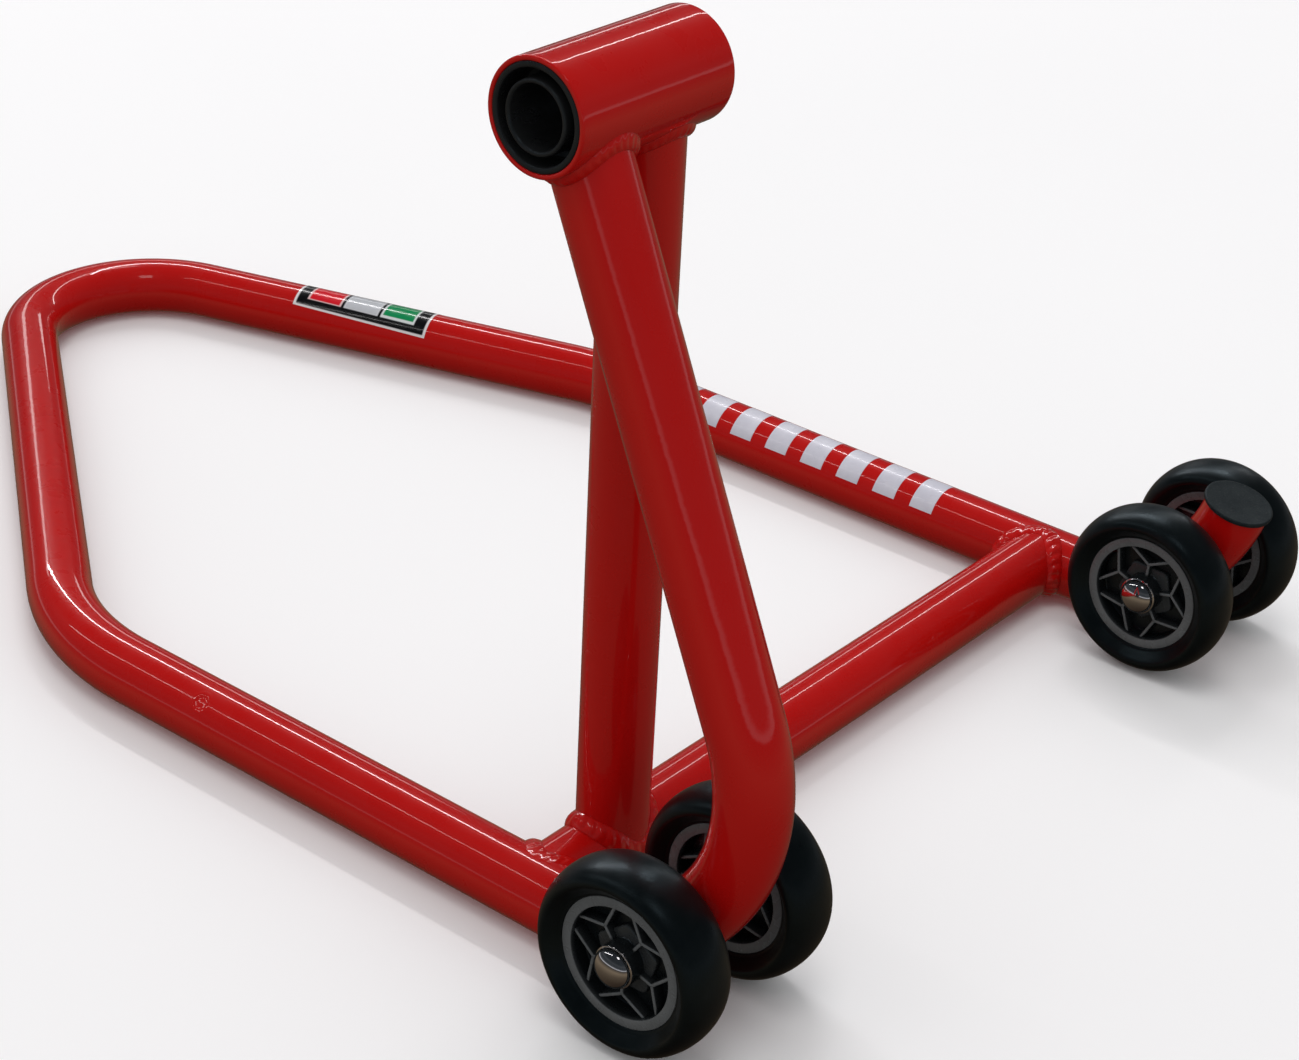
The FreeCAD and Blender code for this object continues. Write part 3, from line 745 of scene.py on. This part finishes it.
# butt joint: a flat rippled ring round the tube
N, M = 260, 13
rows = []
pn = unit(np.cross(butt_dir, X1))
for k in range(N):
    a = 2 * math.pi * k / N
    d = X1 * math.cos(a) + pn * math.sin(a)
    wb = 2.5 * (1 + 0.12 * math.sin(3 * a + 1) + 0.08 * math.sin(7 * a))
    row = []
    for j in range(M):
        x = j / (M - 1)
        e = math.sin(math.pi * x)
        h = -0.15 + e * (1.15 + 0.22 * math.sin(34 * a + 4 * (x - 0.5) ** 2))
        p = butt_pt + butt_dir * (x - 0.5) * 2 * wb + d * (R_T + h)
        if p[2] < 0.12:
            p[2] = 0.12
        row.append(p)
    rows.append(row)
V = np.array(rows).reshape(-1, 3)
faces = []
for i in range(N):
    for j in range(M):
        faces.append((i * M + j, ((i + 1) % N) * M + j, ((i + 1) % N) * M + (j + 1) % M, i * M + (j + 1) % M))
bw = make_obj("weld_bead_butt_joint", W(V), faces, None, RED_WELD)
bm_fix(bw)
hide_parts("weld_loop_butt_joint")
welds.append(bw)

for o in [loop, front, rear, cross, receiver] + welds:
    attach(o, "frame")

# ------------------------------------------------------------ receiver bushes
wo = rin - 2.5
for nm, x0, flip in (("pin_side", REC_X0, 1), ("far_side", REC_X1, -1)):
    BL = 41.5
    pr = [(BL, 12.25)] + [(x, 12.25) for x in (34, 26, 18, 10, 4, 1.0)]
    pr += [(0.85, 12.28), (0.45, 12.45), (0.15, 12.75), (0.0, 13.1), (0.0, 13.6), (0.15, 13.95), (0.5, 14.2), (1.2, 14.26)]
    pr += [(x, 14.3 + 0.2 * x / 13) for x in (4, 8, 11.6)]
    pr += [(12.4, 14.7), (13.0, 15.2), (13.0, wo - 1.0), (12.5, wo - 0.45), (11.6, wo - 0.2)]
    pr += [(8, wo - 0.15), (4, wo - 0.1), (1.2, wo), (0.5, wo + 0.06), (0.15, wo + 0.25), (0.0, wo + 0.6)]
    pr += [(0.0, rin - 0.8), (0.12, rin - 0.35), (0.4, rin - 0.1), (1.0, rin - 0.02), (BL, rin - 0.02),
           (BL, wo), (17, wo), (17, 14.2), (BL, 14.2)]
    o = revolve("bush_" + nm, x0, REC_Y, REC_Z, pr, seg=128, flip=flip, mat=BUSH, sharp=50)
    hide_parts("receiver_bush_" + nm)
    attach(o, "frame")

# ------------------------------------------------------------------- end plug
pl = []
pr = [(-0.5, 10.9), (-11, 10.9), (-11, 12.7), (-10.6, 12.9), (-0.4, 13.85), (0, 14.2), (0.0, 17.0), (0.2, 17.3), (0.45, 17.4), (1.25, 17.4)]
pr += [(1.3 + 0.8 * math.sin(math.radians(a)), 16.6 + 0.8 * math.cos(math.radians(a))) for a in (10, 25, 40, 55, 70, 85)]
pr += [(2.1, 16.3), (2.06, 15.9), (2.0, 15.4), (1.98, 10), (1.97, 6), (1.97, 3), (1.97, 0.0)]
pr += [(0.6, 0.0), (0.4, 6.0), (-0.1, 10.4)]
seg = 128
tmp = []
revolve("x", 0, 0, 0, pr, seg=seg, parts=tmp)
v, f, u = tmp[0]
fy, fz = np.array([1.0, 0, 0]), unit(np.cross(far_dir, [1.0, 0, 0]))
vv = far_end + np.outer(v[:, 0], far_dir) + np.outer(v[:, 1], fy) + np.outer(v[:, 2], fz)
plug = make_obj("end_plug", W(vv), f, u, PLUG, 40)
bm_fix(plug)
plug.data.set_sharp_from_angle(angle=math.radians(40))
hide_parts("tube_end_plug")
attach(plug, "frame")

# --------------------------------------------------------------------- wheels
WHEELS = [
    ("pin_side_outer", 0.0, -1, 52.0),
    ("pin_side_inner", 0.0, 1, 32.5),
    ("far_side_inner", TRACK, -1, 21.4),
    ("far_side_outer", TRACK, 1, 61.0),
]
RH, RO, RI, SEAT = 8.9, 29.1, 24.5, 7.4


def tyre_profile():
    h, rs = 14.0, 35.5
    p = [(-SEAT, 27.5), (-3.7, 27.5), (0, 27.5), (3.7, 27.5), (SEAT, 27.5), (SEAT, 29.05), (RH - 0.25, 29.12), (RH + 0.05, 29.25)]
    # a small moulded step at the bead, then the sloping wall up to the tread
    side = [(RH + 0.32, 29.75), (RH + 0.55, 30.3), (RH + 1.05, 30.72)]
    side += [(RH + 1.05 + (h - 1.0 - RH - 1.05) * t, 30.72 + (rs - 1.6 - 30.72) * t) for t in (0.25, 0.5, 0.75, 1.0)]
    side += [(h - 0.62, rs - 1.15), (h - 0.3, rs - 0.72), (h - 0.08, rs - 0.25)]
    p += side
    n = 40
    crown = []
    for k in range(1, n):
        a = math.pi * k / n
        x, r = h * math.cos(a), rs + (42.48 - rs) * math.sin(a)
        crown.append((x, r))
    p += crown
    p += [(-x, r) for x, r in reversed(side)]
    p += [(-RH - 0.05, 29.25), (-RH + 0.25, 29.12), (-SEAT, 29.05)]
    return p


def bar(p0, p1, w_face, w_base, x0, x1, cx, parts, bev=0.28):
    """Spoke blade with drafted sides and eased face edges, both faces."""
    d = unit(p1 - p0)
    n = np.array([0, -d[2], d[1]])
    L = np.linalg.norm(p1 - p0)
    # outline across the blade, from one face to the other: rounded crests
    half = []
    for t in (0, 22, 45, 68, 90):
        a = math.radians(t)
        half.append((x1 - 0.55 * (1 - math.sin(a)), w_face / 2 - 0.55 * (1 - math.cos(a))))
    crest = half[::-1]
    prof = [(-x, w) for x, w in crest] + [(-x0, w_base / 2), (x0, w_base / 2)] + [(x, w) for x, w in crest[::-1]]
    prof += [(x, -w) for x, w in crest] + [(x0, -w_base / 2), (-x0, -w_base / 2)] + [(-x, -w) for x, w in crest[::-1]]
    V, F, U = [], [], {}
    st = 5
    m = len(prof)
    for i in range(st):
        c = p0 + d * L * i / (st - 1)
        for x, w in prof:
            V.append(np.array([cx + x, 0, AXLE_Z]) + np.array([0, c[1], c[2]]) + n * w)
    for i in range(st - 1):
        for j in range(m):
            U[len(F)] = [(i / 4, j / m), (i / 4, (j + 1) / m), ((i + 1) / 4, (j + 1) / m), ((i + 1) / 4, j / m)]
            F.append((i * m + j, i * m + (j + 1) % m, (i + 1) * m + (j + 1) % m, (i + 1) * m + j))
    U[len(F)] = [(0, 0)] * m
    F.append(tuple(reversed(range(m))))
    U[len(F)] = [(0, 0)] * m
    F.append(tuple((st - 1) * m + j for j in range(m)))
    parts.append((np.array(V), F, U))


for nm, tx, side, first in WHEELS:
    cx = tx + side * WHEEL_X
    body = nm + "_wheel"
    ty = revolve("tyre_" + nm + "_rubber", cx, 0, AXLE_Z, tyre_profile(), seg=176, mat=TYRE, sharp=40)
    bm_fix(ty)
    ty.data.set_sharp_from_angle(angle=math.radians(40))
    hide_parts("tyre_" + nm)
    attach(ty, body)

    parts = []
    rim = [(RH, RI + 0.55), (RH - 0.12, RI + 0.25), (RH - 0.5, RI), (6.0, RI - 0.2), (1.5, RI - 0.6), (-1.5, RI - 0.6), (-6.0, RI - 0.2), (-RH + 0.5, RI),
           (-RH + 0.12, RI + 0.25), (-RH, RI + 0.55), (-RH, RO - 0.5), (-RH + 0.15, RO - 0.15), (-RH + 0.5, RO), (-SEAT, RO), (-SEAT, 27.5), (SEAT, 27.5), (SEAT, RO),
           (RH - 0.5, RO), (RH - 0.15, RO - 0.15), (RH, RO - 0.5)]
    revolve("r", cx, 0, AXLE_Z, rim, seg=160, parts=parts)
    hh = 11.1
    hubp = [(-hh, 4.6), (-hh + 0.4, 4.2), (hh - 0.4, 4.2), (hh, 4.6), (hh, 8.7), (hh - 0.15, 9.05), (hh - 0.5, 9.2),
            (7.0, 9.25), (4.6, 9.3), (4.2, 9.6), (1.6, 9.9), (1.5, 12.0), (1.5, RI - 1.2), (1.8, RI - 0.75), (-1.8, RI - 0.75), (-1.5, RI - 1.2), (-1.5, 12.0), (-1.6, 9.9),
            (-4.2, 9.6), (-4.6, 9.3), (-7.0, 9.25), (-hh + 0.5, 9.2), (-hh + 0.15, 9.05), (-hh, 8.7)]
    revolve("h", cx, 0, AXLE_Z, hubp, seg=112, parts=parts)
    # low five-sided boss, corners halfway between the spokes
    prof5 = []
    for k in range(5):
        a = math.radians(first + 72.0 * (k + 0.5))
        for da, rr in ((-7.0, 14.75), (-2.4, 15.25), (2.4, 15.25), (7.0, 14.75)):
            t = a + math.radians(da)
            prof5.append((t, rr))
    for sg in (-1, 1):
        lev = [(1.4, 1.03, 0), (3.55, 1.0, 0), (3.85, 0.975, 0), (4.0, 0.94, 0), (4.0, 0.62, 1)]
        V5, F5, U5 = [], [], {}
        n5 = len(prof5)
        for x, sc_, rd in lev:
            for t, rr in prof5:
                r_ = 9.0 if rd else rr * sc_
                V5.append(np.array([cx + sg * x, r_ * math.cos(t), AXLE_Z + r_ * math.sin(t)]))
        for i in range(len(lev) - 1):
            for j in range(n5):
                q = (i * n5 + j, i * n5 + (j + 1) % n5, (i + 1) * n5 + (j + 1) % n5, (i + 1) * n5 + j)
                U5[len(F5)] = [(j / n5, i / 4), ((j + 1) / n5, i / 4), ((j + 1) / n5, (i + 1) / 4), (j / n5, (i + 1) / 4)]
                F5.append(q if sg < 0 else tuple(reversed(q)))
        parts.append((np.array(V5), F5, U5))
    for k in range(5):
        a = math.radians(first + 72.0 * k)
        leg = math.radians(27.0)

        def pt(r, t):
            return np.array([0, r * math.cos(t), r * math.sin(t)])
        bar(pt(8.6, a), pt(15.9, a), 1.5, 2.3, 1.4, 6.8, cx, parts)
        bar(pt(15.5, a), pt(RI + 0.3, a + leg), 1.5, 2.3, 1.4, 6.8, cx, parts)
        bar(pt(15.5, a), pt(RI + 0.3, a - leg), 1.5, 2.3, 1.4, 6.8, cx, parts)
    core = join_parts("wheel_core_" + nm + "_moulding", parts, CORE, 30)
    # how far each point stands out of the web sets its painted shade: 0 in the pockets, fully shaded, to 1 on the
    # raised faces, unshaded
    co_v = np.empty(len(core.data.vertices) * 3, np.float32)
    core.data.vertices.foreach_get("co", co_v)
    co_v = co_v.reshape(-1, 3)
    mid_c = W((cx, 0, AXLE_Z))
    out_x = np.abs(co_v[:, 0] - mid_c[0]) * 1000
    out_r = np.hypot(co_v[:, 1] - mid_c[1], co_v[:, 2] - mid_c[2]) * 1000
    unshaded_pt = np.where(out_r > 20.0, np.clip((out_x - 8.2) / 0.5, 0, 1), np.clip((out_x - 6.1) / 0.45, 0, 1))
    # spoke crests run on into the ring
    crest = (out_r > 20.0) & (out_x > 6.1) & (out_x < 6.9) & (out_r < RI + 0.45)
    unshaded_pt = np.where(crest, np.clip((out_x - 6.1) / 0.45, 0, 1), unshaded_pt)
    # the low boss and the hub face get fixed, darker amounts of painted shade
    boss = (out_x > 3.4) & (out_x < 4.3) & (out_r < 15.6)
    unshaded_pt = np.where(boss, 0.42, unshaded_pt)
    unshaded_pt = np.where((out_r < 9.5) & (out_x > 4.4), 0.12, unshaded_pt)
    core.data.attributes.new("unshaded_amount", "FLOAT", "POINT").data.foreach_set("value", unshaded_pt.astype(np.float32))
    bm_fix(core)
    core.data.set_sharp_from_angle(angle=math.radians(30))
    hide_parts("wheel_core_" + nm)
    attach(core, body)

# dome caps, one object for the four, as the node holds them
parts = []
for nm, tx, side, first in WHEELS:
    b0 = WHEEL_X + 11.1 + 0.1
    pr = [(b0, 4.0), (b0, 9.1), (b0 + 0.1, 9.24), (b0 + 0.25, 9.3), (b0 + 0.55, 9.3), (b0 + 0.7, 9.24), (b0 + 0.8, 9.1), (b0 + 0.82, 8.86), (b0 + 0.9, 8.72)]
    for k in range(1, 27):
        a = math.pi / 2 * k / 26
        pr.append((b0 + 0.9 + 5.5 * math.sin(a), 8.7 * math.cos(a) if k < 26 else 0.0))
    pr += [(b0 + 5.6, 0.0), (b0 + 4.9, 3.4), (b0 + 3.2, 6.3), (b0 + 1.2, 7.9), (b0 + 1.1, 4.0)]
    revolve("c", tx, 0, AXLE_Z, pr, seg=96, flip=side, parts=parts)
caps = join_parts("axle_dome_cap_set", parts, CHROME, 40)
bm_fix(caps)
caps.data.set_sharp_from_angle(angle=math.radians(40))
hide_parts("axle_dome_caps")
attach(caps, "frame")

# ---------------------------------------------------------------- thin labels
def film(name, a, b, s0, s1, d0, d1, mat, node_name, rows=24, cols=60, twist=0.0, pieces=None):
    d = unit(b - a)
    sd = unit(-X1 - d * (-X1 @ d))
    up = np.array([0, 0, 1.0])
    V, F, U = [], [], {}
    todo = pieces or [(s0, s1)]
    for p0, p1 in todo:
        base = len(V)
        for lay in (0, 1):
            rr = R_T + (0.115 if lay else 0.0)
            for i in range(rows + 1):
                for j in range(cols + 1):
                    s = p0 + (p1 - p0) * j / cols
                    t = math.radians(d0 + (d1 - d0) * i / rows + twist * j / cols * (1 - i / rows))
                    V.append(a + d * s + (sd * math.cos(t) + up * math.sin(t)) * rr)
        cn = cols + 1
        ln = (rows + 1) * cn
        for lay in (0, 1):
            for i in range(rows):
                for j in range(cols):
                    q = [base + lay * ln + i * cn + j, base + lay * ln + i * cn + j + 1,
                         base + lay * ln + (i + 1) * cn + j + 1, base + lay * ln + (i + 1) * cn + j]
                    uv = [(j / cols, i / rows), ((j + 1) / cols, i / rows), ((j + 1) / cols, (i + 1) / rows), (j / cols, (i + 1) / rows)]
                    if lay == 0:
                        q.reverse()
                        uv.reverse()
                    U[len(F)] = uv
                    F.append(tuple(q))
        ring = [(0, j) for j in range(cn)] + [(i, cols) for i in range(1, rows + 1)] + \
               [(rows, j) for j in range(cols - 1, -1, -1)] + [(i, 0) for i in range(rows - 1, 0, -1)]
        for k in range(len(ring)):
            (i0, j0), (i1, j1) = ring[k], ring[(k + 1) % len(ring)]
            q = (base + i0 * cn + j0, base + i1 * cn + j1, base + ln + i1 * cn + j1, base + ln + i0 * cn + j0)
            uvq = [(j0 / cols, i0 / rows), (j1 / cols, i1 / rows), (j1 / cols, i1 / rows), (j0 / cols, i0 / rows)]
            U[len(F)] = uvq
            F.append(q)
    o = make_obj(name, W(np.array(V)), F, U, mat, 45)
    bm_fix(o)
    o.data.set_sharp_from_angle(angle=math.radians(45))
    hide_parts(node_name)
    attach(o, "frame")
    return o


def label_material():
    """Plain colour blocks in a white keyline on a black field."""
    m, nt, b = new_mat("label_print")
    uv = node(nt, "ShaderNodeTexCoord").outputs["UV"]
    sx = node(nt, "ShaderNodeSeparateXYZ")
    nt.links.new(uv, sx.inputs[0])
    U_, V_ = sx.outputs[0], sx.outputs[1]

    def inside(x0, x1, y0, y1, soft=0.004):
        a = mapr(nt, U_, x0 - soft, x0 + soft, 0, 1)
        c = mapr(nt, U_, x1 - soft, x1 + soft, 1, 0)
        d = mapr(nt, V_, y0 - soft * 3, y0 + soft * 3, 0, 1)
        e = mapr(nt, V_, y1 - soft * 3, y1 + soft * 3, 1, 0)
        return mathn(nt, "MULTIPLY", mathn(nt, "MULTIPLY", a, c), mathn(nt, "MULTIPLY", d, e))
    co = coords(nt)
    col = mixc(nt, inside(0.018, 0.982, 0.055, 0.945), (0.80, 0.78, 0.78, 1), (0.004, 0.004, 0.005, 1))
    blocks = [(0.10, 0.355, (0.0, 0.27, 0.085, 1), (0.72, 0.76, 0.76, 1)),
              (0.375, 0.635, (0.55, 0.57, 0.60, 1), (0.62, 0.63, 0.66, 1)),
              (0.655, 0.91, (0.70, 0.006, 0.018, 1), (0.78, 0.55, 0.55, 1))]
    for x0, x1, c, edge in blocks:
        col = mixc(nt, inside(x0, x1, 0.23, 0.86), col, edge)
        y0 = 0.30 if c[1] > 0.2 and c[0] < 0.1 else 0.255
        col = mixc(nt, inside(x0 + 0.014, x1 - 0.014, y0, 0.83), col, c)
    # ink variation
    col = mixc(nt, mathn(nt, "MULTIPLY", noise_tex(nt, co, 500.0, 4.0), 0.12), col, (0.0, 0.0, 0.0, 1))
    nt.links.new(col, b.inputs["Base Color"])
    nt.links.new(mapr(nt, noise_tex(nt, co, 200.0, 3.0), 0.3, 0.7, 0.16, 0.26), b.inputs["Roughness"])
    b.inputs["Coat Weight"].default_value = 0.5
    b.inputs["Coat Roughness"].default_value = 0.06
    nt.links.new(bump(nt, noise_tex(nt, co, 180.0, 2.0), 0.06, 0.0003), b.inputs["Normal"])
    return m


def white_film_material():
    m, nt, b = new_mat("white_film")
    co = coords(nt)
    n1 = noise_tex(nt, co, 80.0, 4.0, 0.6)
    nt.links.new(ramp(nt, n1, [(0.3, (0.60, 0.60, 0.68, 1)), (0.7, (0.70, 0.70, 0.77, 1))]), b.inputs["Base Color"])
    nt.links.new(mapr(nt, noise_tex(nt, co, 200.0, 3.0), 0.3, 0.7, 0.26, 0.38), b.inputs["Roughness"])
    b.inputs["Coat Weight"].default_value = 0.3
    b.inputs["Coat Roughness"].default_value = 0.12
    nt.links.new(bump(nt, noise_tex(nt, co, 260.0, 2.0), 0.06, 0.0003), b.inputs["Normal"])
    return m


ARM_A = np.array([TRACK, 374.0, BASE_Z])
ARM_B = np.array([283.3, 754.6, BASE_Z])
film("arm_label", ARM_A, ARM_B, 111.0, 198.5, 28.0, 124.0, label_material(), "handle_label", twist=11.0)
film("arm_stripes", np.array([TRACK, 0, BASE_Z]), np.array([TRACK, 374.0, BASE_Z]), 0, 0, 24.2, 109.8, white_film_material(),
     "arm_stripe_marks", rows=24, cols=8, pieces=[(140.0 + 24 * k, 154.0 + 24 * k) for k in range(8)])

# ------------------------------------------------------ nodes carried over
for n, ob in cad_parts.items():
    if ob.hide_render:
        continue
    mt = ZINC if n.startswith("axle_rod") or n == "axle_side_spacers" else RED
    ob.data.materials.clear()
    ob.data.materials.append(mt)

# ------------------------------------------------------------------ the stage
def floor_material():
    m, nt, b = new_mat("floor")
    co = coords(nt)
    c = ramp(nt, noise_tex(nt, co, 1.3, 2.0), [(0.3, (0.95, 0.95, 0.95, 1)), (0.7, (0.97, 0.97, 0.97, 1))])
    nt.links.new(c, b.inputs["Base Color"])
    b.inputs["Roughness"].default_value = 0.85
    b.inputs["Specular IOR Level"].default_value = 0.1
    return m


fl = make_obj("studio_floor", [(-14, -14, -0.0004), (14, -14, -0.0004), (14, 14, -0.0004), (-14, 14, -0.0004)], [(0, 1, 2, 3)], None, floor_material())
fl.visible_glossy = False
fl.visible_diffuse = False

world = bpy.data.worlds.new("studio")
bpy.context.scene.world = world
world.use_nodes = True
wt = world.node_tree
wt.nodes.clear()
wo_ = wt.nodes.new("ShaderNodeOutputWorld")
bg = wt.nodes.new("ShaderNodeBackground")
tc = wt.nodes.new("ShaderNodeTexCoord")
sep = wt.nodes.new("ShaderNodeSeparateXYZ")
wt.links.new(tc.outputs["Generated"], sep.inputs[0])
up = mapr(wt, sep.outputs[2], -1.0, 1.0, 0.0, 1.0)


def wramp(stops):
    r = wt.nodes.new("ShaderNodeValToRGB")
    wt.links.new(up, r.inputs[0])
    el = r.color_ramp.elements
    el[0].position, el[0].color = stops[0]
    el[1].position, el[1].color = stops[-1]
    for p_, c_ in stops[1:-1]:
        e_ = el.new(p_)
        e_.color = c_
    return r.outputs[0]


# what the gloss sees: a brownish floor, a pale horizon and a dim ceiling
gl = wramp([(0.0, (0.03, 0.02, 0.014, 1)), (0.22, (0.085, 0.064, 0.044, 1)), (0.36, (0.18, 0.138, 0.094, 1)), (0.43, (0.10, 0.080, 0.060, 1)), (0.480, (0.03, 0.028, 0.028, 1)),
            (0.494, (0.50, 0.50, 0.52, 1)), (0.508, (0.46, 0.46, 0.48, 1)), (0.526, (0.06, 0.065, 0.07, 1)), (0.60, (0.030, 0.035, 0.040, 1)), (0.66, (0.05, 0.055, 0.06, 1)), (0.74, (0.022, 0.026, 0.03, 1)), (1.0, (0.018, 0.021, 0.025, 1))])
# soft fill for the matte part of the shading
df = wramp([(0.0, (0.20, 0.192, 0.185, 1)), (0.42, (0.34, 0.333, 0.325, 1)), (0.52, (0.66, 0.66, 0.665, 1)), (0.68, (0.65, 0.65, 0.655, 1)), (1.0, (0.55, 0.55, 0.56, 1))])
lp = wt.nodes.new("ShaderNodeLightPath")
mg = wt.nodes.new("ShaderNodeMix")
mg.data_type = "RGBA"
wt.links.new(lp.outputs["Is Glossy Ray"], mg.inputs[0])
wt.links.new(df, mg.inputs[6])
wt.links.new(gl, mg.inputs[7])
mx = wt.nodes.new("ShaderNodeMix")
mx.data_type = "RGBA"
wt.links.new(lp.outputs["Is Camera Ray"], mx.inputs[0])
wt.links.new(mg.outputs[2], mx.inputs[6])
mx.inputs[7].default_value = (0.93, 0.93, 0.93, 1)
wt.links.new(mx.outputs[2], bg.inputs[0])
bg.inputs[1].default_value = 1.0
wt.links.new(bg.outputs[0], wo_.inputs[0])


def area(name, loc, target, size, size_y, power, col=(1, 1, 1)):
    d = bpy.data.lights.new(name, "AREA")
    d.shape = "RECTANGLE"
    d.size, d.size_y = size, size_y
    d.energy = power
    d.color = col
    o = bpy.data.objects.new(name, d)
    COL.objects.link(o)
    o.location = loc
    o.rotation_euler = (Vector(target) - Vector(loc)).to_track_quat("-Z", "Y").to_euler()
    return o


def strip(name, mid, along, length, width, radiance, col=(1, 1, 1)):
    """Long narrow light facing the stand, its length along one axis."""
    mid = Vector(mid)
    z = mid.normalized()
    x = (Vector(along) - z * Vector(along).dot(z)).normalized()
    y = z.cross(x)
    d = bpy.data.lights.new(name, "AREA")
    d.shape = "RECTANGLE"
    d.size, d.size_y = length, width
    d.energy = radiance * math.pi * length * width
    d.color = col
    o = bpy.data.objects.new(name, d)
    COL.objects.link(o)
    o.matrix_world = Matrix((
        (x.x, y.x, z.x, mid.x), (x.y, y.y, z.y, mid.y), (x.z, y.z, z.z, mid.z), (0, 0, 0, 1)))
    return o


strip("ceiling_row_a", (2.31, 3.3, 4.0), (0, 1, 0), 5.4, 0.18, 24.0, (1.0, 0.97, 0.99))
strip("ceiling_row_b", (4.2, 1.5, 4.0), (1, 0, 0), 6.0, 0.15, 10.0, (1.0, 0.98, 0.99))
strip("ceiling_row_c", (-2.46, 3.3, 4.0), (0, 1, 0), 5.0, 0.09, 9.0, (1.0, 0.98, 0.98))
strip("ceiling_row_d", (3.4, 5.0, 2.3), (1, 0, 0), 5.0, 0.30, 2.4, (1.0, 0.98, 0.98))
area("high_panel", (-1.45, -1.48, 4.0), (0, 0, 0), 0.9, 0.9, 5.1, (1.0, 0.96, 0.97))
area("soft_overhead", (-0.6, -0.4, 4.2), (0, 0, 0), 1.6, 1.6, 26.0, (1.0, 0.99, 0.98)).visible_glossy = False

# ----------------------------------------------------------------- the camera
cam = bpy.data.cameras.new("camera")
cam.sensor_width = 36.0
cam.lens = 36.0 * 2768.23 / 1299.0
cam.clip_start = 0.01
cam.clip_end = 100.0
co_ = bpy.data.objects.new("camera", cam)
COL.objects.link(co_)
right = Vector((0.631504, -0.773779, 0.049692))
down = Vector((-0.344536, -0.337445, -0.876028))
fwd = Vector((0.69462, 0.536095, -0.479693))
M4 = Matrix.Identity(4)
for i in range(3):
    M4[i][0] = right[i]
    M4[i][1] = -down[i]
    M4[i][2] = -fwd[i]
loc = W((-723.981, -529.234, 690.909 + BASE_Z))
for i in range(3):
    M4[i][3] = loc[i]
co_.matrix_world = M4
bpy.context.scene.camera = co_

sc = bpy.context.scene
sc.view_settings.view_transform = "Standard"
sc.view_settings.look = "None"
sc.view_settings.exposure = 0.0
